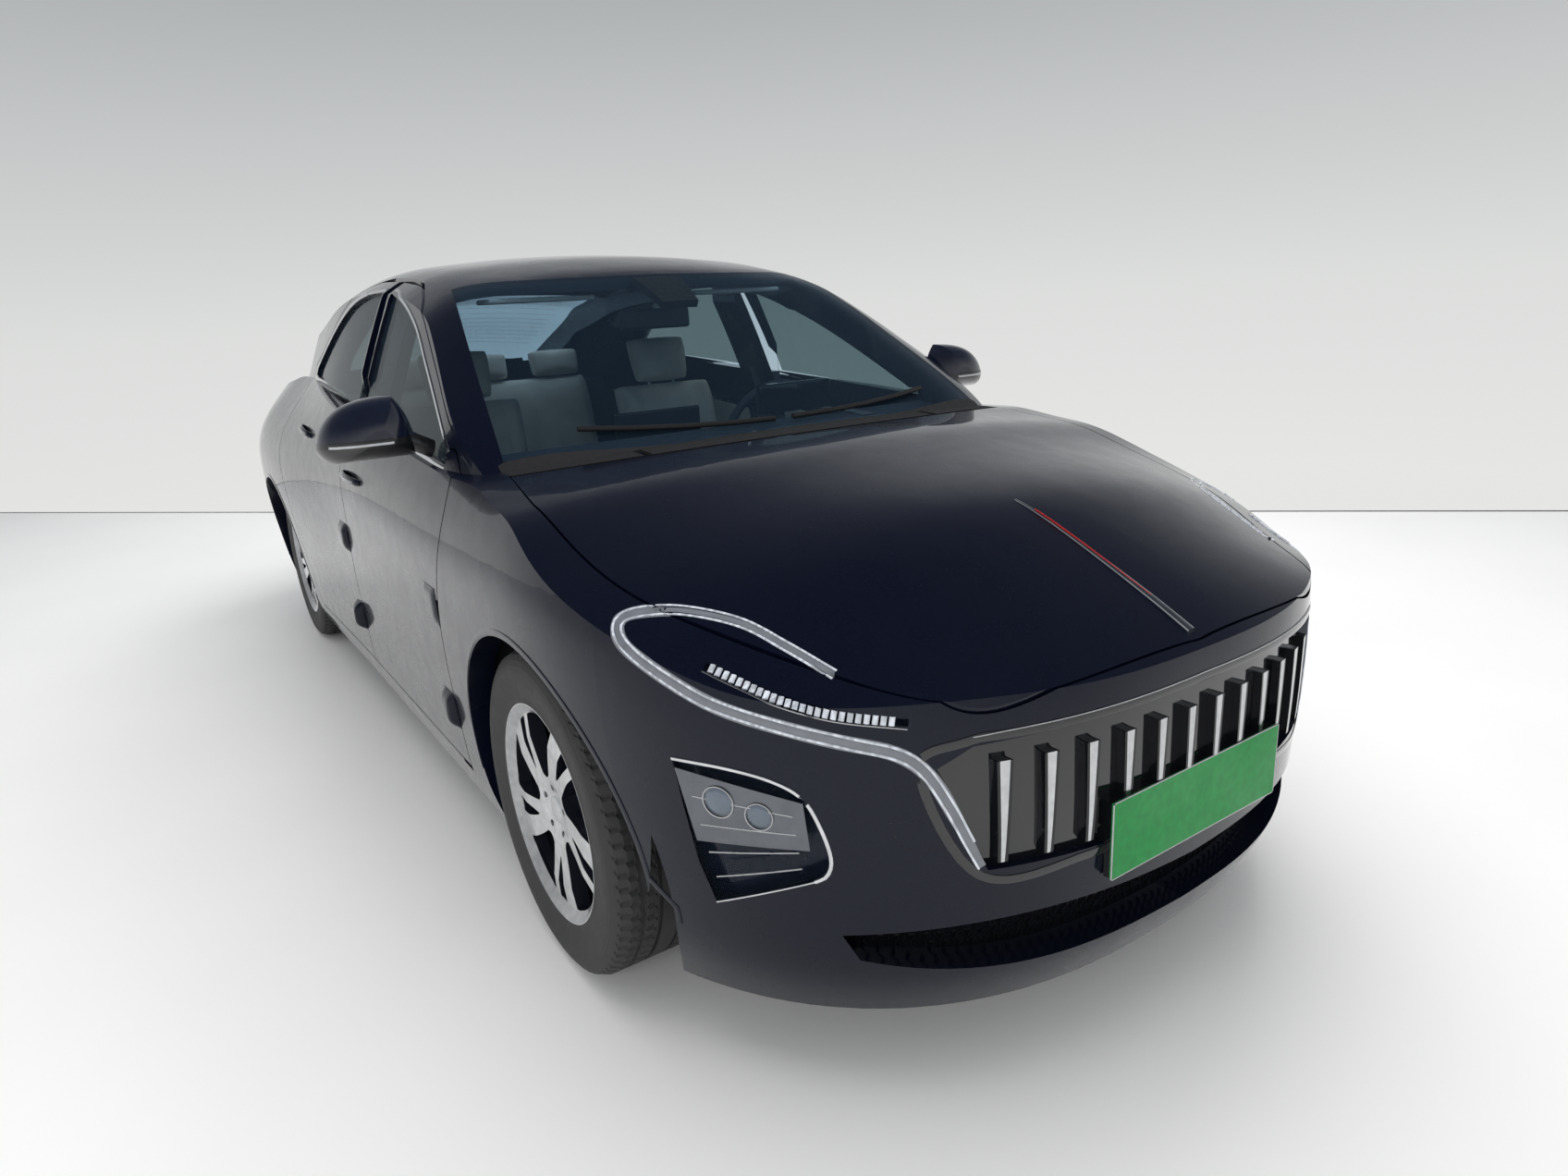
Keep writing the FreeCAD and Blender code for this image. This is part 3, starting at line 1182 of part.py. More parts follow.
def drive_unit():
    """Motor and gearbox as one block, with its two drive shafts."""
    low = AXLE_HEIGHT - DRIVE_HEIGHT / 3
    block = box((FRONT_AXLE - DRIVE_LENGTH / 2, -DRIVE_WIDTH / 2, low),
                (FRONT_AXLE + DRIVE_LENGTH / 2, DRIVE_WIDTH / 2, low + DRIVE_HEIGHT))
    end = TRACK / 2 - STEER_INSET - SHAFT_JOINT_GAP
    shaft = rod(at(FRONT_AXLE, -DRIVE_WIDTH / 2, AXLE_HEIGHT), at(FRONT_AXLE, -end, AXLE_HEIGHT),
                SHAFT_RADIUS)
    joint = rod(at(FRONT_AXLE, -end + 2 * SHAFT_JOINT_RADIUS, AXLE_HEIGHT),
                at(FRONT_AXLE, -end, AXLE_HEIGHT),
                SHAFT_JOINT_RADIUS)
    top = LOWER_ARM_HEIGHT + SUBFRAME_HEIGHT / 2
    legs = [box((x - MOUNT_HALF, -DRIVE_WIDTH / 2, top),
                (x + MOUNT_HALF, -DRIVE_WIDTH / 2 + 2 * MOUNT_HALF, low))
            for x in (FRONT_AXLE - SUBFRAME_LENGTH * MOUNT_SHARE,
                      FRONT_AXLE + SUBFRAME_LENGTH * MOUNT_SHARE)]
    half = [shaft, joint] + legs
    return join([block] + half + [mirrored(piece) for piece in half])


def both_sides(shape):
    return Part.makeCompound([shape, mirrored(shape)])


# Cabin


def front_seat(y):
    """Cushion, leaning back and headrest of one front seat."""
    x, z = station(SEAT_PLACE_SHARE), FLOOR_HEIGHT
    half = SEAT_WIDTH / 2
    cushion = box((x, y - half, z + SEAT_RISE),
                  (x + SEAT_LENGTH, y + half, z + SEAT_RISE + CUSHION_HEIGHT))
    base = box((x + BACK_DEPTH, y - half / 2, z),
               (x + SEAT_LENGTH - BACK_DEPTH, y + half / 2, z + SEAT_RISE))
    back_foot = z + SEAT_RISE + CUSHION_HEIGHT / 3
    lean = BACK_HEIGHT * BACK_LEAN_SHARE
    profile = [(x, back_foot), (x + BACK_DEPTH, back_foot),
               (x + BACK_DEPTH - lean, back_foot + BACK_HEIGHT),
               (x - lean, back_foot + BACK_HEIGHT)]
    points = [Vector(a, y - half, b) for a, b in profile]
    back = Part.Face(Part.makePolygon(points + points[:1])).extrude(Vector(0, SEAT_WIDTH, 0))
    top = back_foot + BACK_HEIGHT
    head_x = x - lean + (BACK_DEPTH - HEADREST_DEPTH) / 2
    head = box((head_x, y - HEADREST_WIDTH / 2, top),
               (head_x + HEADREST_DEPTH, y + HEADREST_WIDTH / 2, top + HEADREST_HEIGHT))
    return join([cushion, base, back, head])


def rear_seat():
    x, z = station(REAR_SEAT_PLACE_SHARE), FLOOR_HEIGHT + SEAT_STEP
    half = reach(REAR_SEAT_HALF_SHARE)
    cushion = box((x, -half, z), (x + SEAT_LENGTH, half, z + CUSHION_HEIGHT))
    foot = z + CUSHION_HEIGHT
    lean = BACK_HEIGHT * BACK_LEAN_SHARE
    profile = [(x, foot), (x + BACK_DEPTH, foot), (x + BACK_DEPTH - lean, foot + BACK_HEIGHT),
               (x - lean, foot + BACK_HEIGHT)]
    points = [Vector(a, -half, b) for a, b in profile]
    back = Part.Face(Part.makePolygon(points + points[:1])).extrude(Vector(0, 2 * half, 0))
    top = foot + BACK_HEIGHT
    head_x = x - lean + (BACK_DEPTH - HEADREST_DEPTH) / 2
    heads = [box((head_x, y - HEADREST_WIDTH / 2, top),
                 (head_x + HEADREST_DEPTH, y + HEADREST_WIDTH / 2, top + HEADREST_HEIGHT / 2))
             for y in (-half / 2, half / 2)]
    return join([cushion, back] + heads)


def dashboard(inside):
    """Dashboard across the cabin with the console between the front seats."""
    profile = [Vector(station(x), -WIDTH / 2, level(z)) for x, z in DASH_SHARES]
    dash = Part.Face(Part.makePolygon(profile + profile[:1])).extrude(Vector(0, WIDTH,
                                                                             0)).common(inside)
    half = SEAT_GAP_HALF - CONSOLE_GAP
    console = box((station(CONSOLE_REAR_SHARE), -half, FLOOR_HEIGHT),
                  (profile[0].x - DASH_LAP, half, level(CONSOLE_TOP_SHARE)))
    return dash.fuse(console)


def steering_wheel():
    radius = (STEERING_WHEEL - STEERING_RIM) / 2
    ring = Part.makeTorus(radius, STEERING_RIM / 2)
    boss = Part.makeCylinder(STEERING_BOSS, STEERING_RIM * 2,
                             Vector(0, 0, -STEERING_RIM * BOSS_DEPTH_SHARE))
    wide = STEERING_RIM * SPOKE_WIDTH_SHARE
    spokes = [Part.makeBox(radius, wide, STEERING_RIM / 2, Vector(0, -wide / 2, -STEERING_RIM / 4))
              for number in range(3)]
    placed = [spoke.rotate(Vector(), Vector(0, 0, 1), angle) or spoke for spoke,
              angle in zip(spokes, (0, 90, 180))]
    wheel = join([ring, boss] + placed)
    wheel.rotate(Vector(), Vector(0, 0, 1), 180)
    wheel.rotate(Vector(), Vector(0, 1, 0), -(90 - STEERING_TILT))
    wheel.translate(steering_centre())
    return wheel


def steering_centre():
    return Vector(station(STEERING_PLACE_SHARE), reach(DRIVER_SHARE), level(STEERING_HEIGHT_SHARE))


def steering_column():
    tilt = math.radians(STEERING_TILT)
    along = Vector(math.cos(tilt), 0, -math.sin(tilt))
    start = steering_centre().add(along * (STEERING_RIM * BOSS_DEPTH_SHARE + PIN_CLEARANCE))
    return rod(start, start.add(along * COLUMN_LENGTH), STEERING_BOSS * COLUMN_SHARE)


def mirror_section(place, size, centre):
    """Closed outline of the mirror's shell at one place along it, shrunk towards its middle."""
    middle, low = MIRROR_MIDDLE_SHARES
    runs = []
    for run in MIRROR_SHARES:
        pairs = [(middle + (out - middle) * size, low + (up - low) * size) for out, up in run]
        runs.append([Vector(centre.x + place, centre.y + (0.5 - out) * MIRROR_WIDTH,
                            centre.z + (up - 0.5) * MIRROR_HEIGHT)
                     for out, up in pairs])
    return outline(runs)


def mirror(skin):
    """Right door mirror: domed shell with its glass recessed behind, on a foot that meets the door."""
    centre = Vector(station(MIRROR_PLACE_SHARE), -reach(MIRROR_HALF_SHARE), level(MIRROR_HEIGHT_SHARE))
    sections = [mirror_section(place * MIRROR_LENGTH, size, centre) for place,
                size in MIRROR_DOME_SHARES]
    shell = Part.makeLoft(sections, True)
    recess = Part.Face(mirror_section(0, MIRROR_GLASS_SHARE, centre)).extrude(Vector(MIRROR_RECESS, 0,
                                                                                     0))
    start = Vector(centre.x + MIRROR_LENGTH / 2, -reach(MIRROR_FOOT_SHARE),
                   level(MIRROR_FOOT_HEIGHT_SHARE))
    end = centre.add(Vector(MIRROR_LENGTH / 2, MIRROR_WIDTH / 8, 0))
    return shell.cut(recess).fuse(rod(start, end, MIRROR_FOOT_RADIUS).cut(shell)).cut(skin)


def wiper(pivot_y, tip_y):
    """Wiper arm and blade at rest along the foot of the windscreen."""
    places = []
    for number in range(5):
        y = reach(pivot_y + (tip_y - pivot_y) * number / 4)
        x = station(WIPER_PLACE_SHARE) - WIPER_BOW * (abs(y) / reach(0.5)) ** 2
        edge = cabin_side(x, level(GLASS_KNEE_SHARE))
        t = abs(y) / edge
        places.append(Vector(x, y, roof_line(x) - CROWN * t * t + WIPER_LIFT))
    pieces = [rod(places[number], places[number + 1], WIPER_RADIUS) for number in range(4)]
    return join(pieces)


def wing_zone():
    """Region of the right front wing: low part before the hinge line, all before the windscreen corner."""
    low = box((FRONT_HINGE.x, -WIDTH, 0), (LENGTH, 0, level(WING_TOP_SHARE)))
    high = box((station(WINDSCREEN_SHARES[0][0]), -WIDTH, 0), (LENGTH, 0, HEIGHT))
    return low.fuse(high)


def cowl_box():
    half = reach(COWL_HALF_SHARE)
    return box((station(WINDSCREEN_SHARES[0][0]) - OVERRUN, -half, level(BONNET_BASE_SHARE)),
               (station(1.0), half, HEIGHT))


def front_aperture():
    """Front door opening through the side frame."""
    fore, aft = [station(share) for share in FRONT_APERTURE_TOP_SHARES]
    top = [Vector(x, 0, window_top(x, -SEAL_BORDER)) for x in spread(fore, aft, 6)]
    low = level(APERTURE_SILL_SHARE)
    front = station(APERTURE_FRONT_SHARE)
    runs = [[Vector(top[-1].x, 0, low)], [Vector(front - APERTURE_CORNER, 0, low)],
            [Vector(front, 0, low + APERTURE_CORNER)], [Vector(front, 0, top[0].z)], [top[0]], top[1:]]
    return through(runs)


def rear_aperture():
    """Rear door opening, narrowed at its foot by the wheel arch."""
    rear = [Vector(station(x), 0, level(z)) for x, z in REAR_APERTURE_SHARES]
    fore, aft = [station(share) for share in REAR_APERTURE_TOP_SHARES]
    top = [Vector(x, 0, window_top(x, -SEAL_BORDER)) for x in spread(fore, aft, 6)]
    low = level(APERTURE_SILL_SHARE)
    runs = [[Vector(top[0].x, 0, low)], [top[0]], top[1:], [rear[-1]], list(reversed(rear[:-1])),
            [Vector(rear[0].x, 0, low)]]
    return through(runs)


def tail_lamp_prism():
    start = station(TAIL_LAMP_START_SHARE)
    return box((-LENGTH, -WIDTH, level(TAIL_LAMP_LOW_SHARE)),
               (start, WIDTH, level(TAIL_LAMP_HIGH_SHARE)))


def save(name, shape):
    shape.exportStep("parts/" + name + ".step")


def build():
    os.makedirs("parts", exist_ok=True)
    glass_upper = upper_body(GLASS)
    frame_upper = upper_body(FRAME_WALL)
    room = box((-LENGTH / 2, -WIDTH, 0), (LENGTH / 2, WIDTH, 2 * HEIGHT))
    body = lower_body(0).fuse(upper_body(0)).common(room)
    panel_inner = lower_body(PANEL_WALL).fuse(frame_upper)
    door_inner = belt(DOOR_WALL).fuse(cabin_sides(FRAME_WALL))
    recess_inner = belt(DOOR_WALL + RECESS_GAP).fuse(cabin_sides(FRAME_RECESS))
    waist = belt(SIDE_WALL).common(box((station(BULKHEAD_SHARE), -WIDTH, 0),
                                       (station(DASH_SHARES[3][0]), WIDTH, waist_height())))
    cabin = join([lower_body(SIDE_WALL), upper_body(PILLAR_WALL), waist])

    hinge_zone = behind(FRONT_HINGE.x)
    wheels = arches()
    bonnet_cut = bonnet_prism(SHUT_GAP)
    lid_cut = lid_prism(SHUT_GAP)
    screen = windscreen_prism()
    rear_screen = rear_window_prism()
    roof_cut = roof_prism()
    front = front_zone()
    rear = rear_zone()
    tail_band = tail_lamp_prism()

    # Doors and their glass
    front_hole = through(window_hole(FRONT_WINDOW_SHARES))
    rear_hole = through(window_hole(REAR_DOOR_WINDOW_SHARES))
    front_door = body.common(drafted(front_door_runs(0))).common(front_cut(0).fuse(hinge_zone))
    front_door = front_door.cut(door_inner)
    rear_door = body.common(drafted(rear_door_runs(0))).common(rear_cut(0).fuse(behind(REAR_HINGE.x)))
    rear_door = rear_door.cut(door_inner)
    pane = cabin_sides(SIDE_GLASS_INSET).cut(cabin_sides(SIDE_GLASS_INSET + GLASS))
    arms = []
    for name, door, hole, hinge in (("front", front_door, front_hole, FRONT_HINGE),
                                    ("rear", rear_door, rear_hole, REAR_HINGE)):
        brackets, notches, pins = door_hinges(hinge)
        arms += brackets
        whole = join([door.cut(hole).cut(Part.makeCompound(notches))] + pins)
        glass = pane.common(hole)
        save(name + "_door_right", whole)
        save(name + "_door_left", mirrored(whole))
        save(name + "_door_glass_right", glass)
        save(name + "_door_glass_left", mirrored(glass))
    shell = mirror(body)
    save("mirror_right", shell)
    save("mirror_left", mirrored(shell))

    # Side frame
    half = box((-LENGTH, -WIDTH, 0), (station(WINDSCREEN_SHARES[0][0]), 0, 2 * HEIGHT))
    frame = body.common(half).cut(cabin)
    zone = hinge_zone.fuse(front_cut(RECESS_GAP))
    recess = drafted(recess_runs(RECESS_GAP)).common(zone).cut(recess_inner)
    wing = wing_zone()
    frame = frame.cut(recess).cut(wing.cut(panel_inner)).cut(front_cut(RECESS_GAP)).cut(rear_cut(RECESS_GAP))
    frame = frame.cut(front_aperture()).cut(rear_aperture())
    for space in (screen, roof_cut, rear_screen, lid_cut, rear, wheels, bonnet_cut):
        frame = frame.cut(space)
    lamp_cut = tail_band.cut(lower_body(LAMP_DEPTH))
    neck, shaft, way = lid_hinge()
    frame = join([frame.cut(lamp_cut).cut(way), shaft] + arms)
    save("side_frame_right", frame)
    save("side_frame_left", mirrored(frame))

    # Roof, glass, bonnet, boot lid
    save("roof", body.common(roof_cut).cut(panel_inner))
    lower = lower_body(0)
    save("windscreen", body.common(screen).cut(glass_upper).cut(lower))
    save("rear_window", body.common(rear_screen).cut(glass_upper).cut(lower))
    arm, well, pin = bonnet_hinge()
    save("bonnet", join([body.common(bonnet_prism(0)).cut(panel_inner), arm, mirrored(arm)]))
    lid = body.common(lid_prism(0)).cut(panel_inner)
    save("boot_lid", join([lid.cut(lamp_cut), neck, mirrored(neck)]))
    lamps = body.common(tail_band).cut(lower_body(LAMP_DEPTH))
    save("lid_lamp", lamps.common(lid_prism(0)))
    save("tail_lamps", lamps.cut(lid_cut))

    # Front wing, bumpers, cowl
    skin = body.common(wing).cut(panel_inner)
    cowl_space = cowl_box()
    right_wing = skin.cut(front).cut(bonnet_cut).cut(wheels).cut(cowl_space).cut(front_cut(RECESS_GAP))
    right_wing = right_wing.cut(box((-LENGTH, -WIDTH, 0), (FRONT_HINGE.x, 0, HEIGHT)))
    wall = body.cut(panel_inner)
    lamp_back = lower_body(LAMP_DEPTH)
    band = lamp_band(DAY_LAMP_SHARES, DAY_LAMP_WIDTH, DAY_LAMP_TIP_WIDTH)
    strip = lamp_band(LAMP_STRIP_SHARES, LAMP_STRIP_WIDTH, LAMP_STRIP_TIP_WIDTH)
    corner = lamp_block(CORNER_LAMP_SHARES)
    grille_space = nose_prism(GRILLE_SHARES)
    intake_space = nose_prism(INTAKE_SHARES)
    plate_front = LENGTH / 2
    plate_low = PLATE_CENTRE - PLATE_HEIGHT / 2
    holder_box = box((plate_front - PLATE_WALL - PLATE_PLINTH, -PLATE_WIDTH / 2, plate_low),
                     (plate_front - PLATE_WALL, PLATE_WIDTH / 2, plate_low + PLATE_HEIGHT))
    plate = box((plate_front - PLATE_WALL, -PLATE_WIDTH / 2, plate_low),
                (plate_front, PLATE_WIDTH / 2, plate_low + PLATE_HEIGHT))
    plate_space = holder_box.fuse(plate)
    behind_plate = box((plate_front - PLATE_WALL - PLATE_PLINTH - GRILLE_INSET, -PLATE_WIDTH / 2,
                        plate_low),
                       (plate_front, PLATE_WIDTH / 2, plate_low + PLATE_HEIGHT))
    bumper = wall.common(front).cut(bonnet_cut).cut(wheels)
    slots = [block.cut(lamp_back) for block in (band, strip, corner)]
    for slot in slots:
        bumper = bumper.cut(slot).cut(mirrored(slot))
    bumper = bumper.cut(grille_space).cut(intake_space).cut(plate_space)
    save("front_wings", both_sides(right_wing.cut(slots[0]).cut(Part.makeCompound(arms))))
    save("front_bumper", bumper)
    save("rear_bumper", wall.common(rear).cut(lid_cut).cut(wheels))
    save("day_lamps", both_sides(body.common(band).cut(lamp_back).cut(bonnet_cut)))
    beams = [body.common(block).cut(lamp_back) for block in (strip, corner)]
    save("headlamps", both_sides(Part.makeCompound(beams)))
    grille_back = lower_body(GRILLE_INSET)
    panel = grille_back.common(grille_space).cut(panel_inner).cut(plate_space).cut(bonnet_cut)
    panel = panel.cut(slots[0]).cut(mirrored(slots[0]))
    bars = [grille_bar(number) for number in range(BAR_COUNT)]
    save("grille_bars", body.common(Part.makeCompound(bars)).cut(grille_back).cut(behind_plate))
    filler = behind_plate.common(grille_space).cut(grille_back).cut(plate_space)
    mesh = panel_inner.common(nose_prism(INTAKE_SHARES,
                                         MESH_BORDER)).cut(lower_body(PANEL_WALL + MESH_WALL))
    save("grille", Part.makeCompound([join([panel, holder_box, filler]), mesh]))
    save("number_plate", plate)
    cowl = wall.common(cowl_space).cut(bonnet_cut).cut(screen).cut(roof_cut)
    start = station(WINDSCREEN_SHARES[0][0])
    cowl = cowl.common(box((start, -WIDTH, 0), (station(COWL_FRONT_SHARE), WIDTH, HEIGHT)))
    save("cowl", join([cowl.cut(well).cut(mirrored(well)), pin, mirrored(pin)]))
    save("wipers", Part.makeCompound([wiper(0.56, 0.02), wiper(-0.04, -0.58)]))

    # Floor, firewall, boot and wheelhouses
    path = floor_path()
    floor = sheet(path, FLOOR_WALL, WIDTH).common(cabin)
    bulkhead = box((station(BULKHEAD_SHARE) - BULKHEAD_WALL, -WIDTH, level(BOOT_FLOOR_SHARE)),
                   (station(BULKHEAD_SHARE), WIDTH, level(SHELF_SHARE)))
    shelf = box((station(SHELF_REAR_SHARE), -WIDTH, level(SHELF_SHARE) - BULKHEAD_WALL),
                (station(BULKHEAD_SHARE), WIDTH, level(SHELF_SHARE)))
    floor = join([floor, bulkhead.common(cabin), shelf.common(cabin)]).cut(wheels)
    liners = wheel_liners(panel_inner, cabin)
    save("floor_pan", floor.cut(liners))
    save("wheel_liners", liners)
    save("front_structure", front_structure())
    save("battery_pack", box((station(PACK_PLACE_SHARE), -PACK_WIDTH / 2,
                              FLOOR_HEIGHT - FLOOR_WALL - PACK_HEIGHT),
                             (station(PACK_PLACE_SHARE) + PACK_LENGTH, PACK_WIDTH / 2,
                              FLOOR_HEIGHT - FLOOR_WALL)))
    save("drive_unit", drive_unit())

    # Suspension, wheels
    save("front_suspension", front_suspension())
    save("rear_suspension", rear_suspension())
    carrier = knuckle()
    save("knuckle_right", carrier)
    save("knuckle_left", mirrored(carrier))
    ring, rubber = rim(), tyre()
    for place, x in (("front", FRONT_AXLE), ("rear", REAR_AXLE)):
        for name, side in (("right", -1), ("left", 1)):
            save("rim_" + place + "_" + name, at_wheel(ring, x, side))
            save("tyre_" + place + "_" + name, at_wheel(rubber, x, side))

    # Cabin
    save("dashboard", dashboard(cabin).cut(liners).cut(wall).fuse(steering_column()))
    save("steering_wheel", steering_wheel())
    y = SEAT_GAP_HALF + SEAT_WIDTH / 2
    save("front_seats", Part.makeCompound([front_seat(-y), front_seat(y)]))
    save("rear_seat", rear_seat())


def waist_height():
    """Where the inner walls of the lower body and of the greenhouse meet."""
    return level(GLASS_BASE_SHARE) + FLOOR_WALL


def floor_path():
    """Firewall, toe board, flat floor, step under the rear seat and boot floor, from the side."""
    firewall, tail = station(FIREWALL_SHARE) - FLOOR_WALL, station(BOOT_END_SHARE)
    toe, heel = station(FLOOR_TOE_SHARE), station(FLOOR_HEEL_SHARE)
    step, rise = station(SEAT_STEP_SHARE), station(BULKHEAD_SHARE) + BULKHEAD_RISE
    low, seat, boot = FLOOR_HEIGHT, FLOOR_HEIGHT + SEAT_STEP, level(BOOT_FLOOR_SHARE)
    places = [(firewall, level(COWL_FLOOR_SHARE)), (firewall, low + TOE_RISE), (toe, low), (heel, low),
              (heel - SEAT_STEP, seat),
              (step, seat), (rise, boot), (tail, boot)]
    return [Vector(x, 0, z) for x, z in places]


def wheel_liners(panel_inner, cabin):
    """Inner wheelhouses: a curved wall over each wheel, closed towards the middle of the car."""
    pieces = []
    for x, radius, inner, limit in ((FRONT_AXLE, LINER_RADIUS, WHEELHOUSE_INNER, panel_inner),
                                    (REAR_AXLE, ARCH_RADIUS, REAR_HOUSE_INNER, cabin)):
        wall = wheel_cylinder(x, radius + LINER_WALL, inner - LINER_WALL, liner_reach())
        space = wheel_cylinder(x, radius, inner, WIDTH)
        low = box((-LENGTH, -WIDTH, 0), (LENGTH, 0, AXLE_HEIGHT + LINER_FOOT))
        pieces.append(wall.cut(space).cut(low).common(limit))
    return both_sides(Part.makeCompound(pieces))


def front_structure():
    """Side rails, strut towers and the panel that carries the radiator."""
    rail_y = WHEELHOUSE_INNER - LINER_WALL
    rail = box((station(FIREWALL_SHARE), -rail_y, RAIL_FOOT),
               (station(RAIL_FRONT_SHARE), -rail_y + RAIL_WIDTH, RAIL_FOOT + RAIL_HEIGHT))
    front = station(RAIL_FRONT_SHARE)
    radiator = box((front, -rail_y, RAIL_FOOT - RAIL_HEIGHT / 2),
                   (front + RADIATOR_WALL, rail_y, level(RADIATOR_TOP_SHARE)))
    tower = box((FRONT_AXLE - TOWER_HALF, -rail_y, RAIL_FOOT + RAIL_HEIGHT),
                (FRONT_AXLE + TOWER_HALF, -rail_y + RAIL_WIDTH / 2, UPPER_ARM_HEIGHT + SUBFRAME_HEIGHT))
    return join([radiator, rail, mirrored(rail), tower, mirrored(tower)])


build()
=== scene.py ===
import math

import bmesh
import bpy
from mathutils import Matrix, Vector
from mathutils.bvhtree import BVHTree


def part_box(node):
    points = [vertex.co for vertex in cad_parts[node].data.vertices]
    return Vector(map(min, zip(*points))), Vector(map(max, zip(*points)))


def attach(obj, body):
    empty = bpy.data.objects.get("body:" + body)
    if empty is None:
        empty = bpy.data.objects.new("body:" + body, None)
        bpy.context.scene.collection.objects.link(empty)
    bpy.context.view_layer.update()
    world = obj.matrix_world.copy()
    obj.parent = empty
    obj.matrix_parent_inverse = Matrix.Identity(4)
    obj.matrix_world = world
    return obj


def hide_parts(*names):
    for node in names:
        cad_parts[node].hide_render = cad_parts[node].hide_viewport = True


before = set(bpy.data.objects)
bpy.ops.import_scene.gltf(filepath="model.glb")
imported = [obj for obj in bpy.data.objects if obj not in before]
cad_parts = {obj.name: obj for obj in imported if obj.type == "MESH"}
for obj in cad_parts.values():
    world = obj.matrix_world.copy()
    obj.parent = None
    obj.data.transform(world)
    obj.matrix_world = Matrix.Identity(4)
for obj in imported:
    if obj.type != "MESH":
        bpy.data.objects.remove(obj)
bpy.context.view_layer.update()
bpy.context.scene.view_settings.view_transform = "Standard"

# Camera, fitted to the photograph's wheels, roof and nose
CAMERA_PLACE = (3.42743, -1.46382, 1.35180)
CAMERA_YAW = math.radians(146.5704)
CAMERA_PITCH = math.radians(-16.1443)
CAMERA_ROLL = math.radians(-3.2353)
CAMERA_LENS = 22.463
CAMERA_SENSOR = 36.0

# Studio: the floor ends where the photograph's wall stands
FLOOR_SIZE = 160.0
FLOOR_COLOUR = (0.90, 0.89, 0.86)
FLOOR_EDGE = ((-7.217, -2.439), (1.414, 5.144))
EDGE_LINE = 0.030
BACKDROP = [
    (0.0, (0.76, 0.76, 0.745)), (0.42, (0.79, 0.79, 0.78)), (0.50, (0.72, 0.73, 0.72)),
    (0.58, (0.55, 0.565, 0.57)), (0.66, (0.36, 0.375, 0.385)), (0.78, (0.10, 0.108, 0.122)),
    (1.0, (0.035, 0.040, 0.050))]
WORLD_TINT = (0.93, 0.95, 1.0, 1.0)
WORLD_STRENGTH = 0.62
LAMP_AIM = (0, 0, 0.6)

# Lamps: name, place, size, power, colour
LAMPS = [
    ("lamp_above", (0.6, 0.4, 5.2), (7.5, 4.5), 190.0, (1.0, 1.0, 1.0)),
    ("lamp_front_right", (5.8, -4.6, 2.8), (4.6, 2.4), 120.0, (0.96, 0.98, 1.0)),
    ("lamp_roof", (-1.2, 3.4, 5.6), (5.4, 2.2), 120.0, (0.97, 0.98, 1.0)),
    ("lamp_back", (-6.8, 1.0, 3.4), (3.8, 2.2), 60.0, (0.95, 0.97, 1.0))]

# The car's own places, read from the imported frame
SIDES = ("right", "left")
HALF_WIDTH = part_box("side_frame_left")[1][1]
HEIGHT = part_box("roof")[1][2]
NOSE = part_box("number_plate")[1][0]
TAIL = -NOSE
TYRE_RADIUS = (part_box("tyre_front_right")[1][2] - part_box("tyre_front_right")[0][2]) / 2


def at(x, y, z):
    """A point or a direction."""
    return Vector((x, y, z))


def middle(name):
    """The centre of a node's box."""
    low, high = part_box(name)
    return (Vector(low) + Vector(high)) / 2


FRONT_AXLE = middle("tyre_front_right").x
REAR_AXLE = middle("tyre_rear_right").x


def station(share):
    """A place along the car: -1 the tail, 0 the rear axle, 1 the front axle, 2 the nose."""
    if share > 1.0:
        return FRONT_AXLE + (share - 1.0) * (NOSE - FRONT_AXLE)
    if share < 0.0:
        return REAR_AXLE + share * (REAR_AXLE - TAIL)
    return REAR_AXLE + share * (FRONT_AXLE - REAR_AXLE)


def shares(rows):
    """Points on the right side from rows of shares of length, half width and height."""
    return [at(station(x), -y * HALF_WIDTH, z * HEIGHT) for x, y, z in rows]


def line_between(first, last, count):
    """Points on a straight line."""
    return [Vector(first).lerp(Vector(last), n / (count - 1)) for n in range(count)]


# Node helpers

def wire(tree, made, **values):
    """A node with its inputs set by name, or linked where the value is another node's output."""
    for key, value in values.items():
        socket = made.inputs[key.replace("_", " ")]
        if isinstance(value, bpy.types.NodeSocket):
            tree.links.new(value, socket)
        else:
            socket.default_value = value
    return made


def node(tree, kind, **values):
    """A new node of that kind, with its inputs set or linked."""
    return wire(tree, tree.nodes.new("ShaderNode" + kind), **values)


def new_material(name):
    """A material with a node tree, and its main shader."""
    made = bpy.data.materials.new(name)
    made.use_nodes = True
    return made, made.node_tree, made.node_tree.nodes["Principled BSDF"]


def along(tree, axis, name="Object"):
    """One coordinate as a value."""
    source = node(tree, "TexCoord").outputs[name]
    return node(tree, "SeparateXYZ", Vector=source).outputs[axis]


def pattern(tree, scale, detail=3.0, stretch=None, cells=None):
    """Noise over the object's coordinates, stretched if asked, or the named output of scattered cells."""
    source = node(tree, "TexCoord").outputs["Object"]
    if stretch:
        source = node(tree, "Mapping", Vector=source, Scale=stretch).outputs["Vector"]
    if cells:
        return node(tree, "TexVoronoi", Vector=source, Scale=scale).outputs[cells]
    return node(tree, "TexNoise", Vector=source, Scale=scale, Detail=detail).outputs["Fac"]


def ramp(tree, source, stops):
    """Colours over a value: stops are (place, colour)."""
    made = node(tree, "ValToRGB", Fac=source)
    points = made.color_ramp.elements
    while len(points) < len(stops):
        points.new(1.0)
    for point, (place, colour) in zip(points, stops):
        point.position = place
        point.color = (*colour, 1.0)
    return made.outputs["Color"]


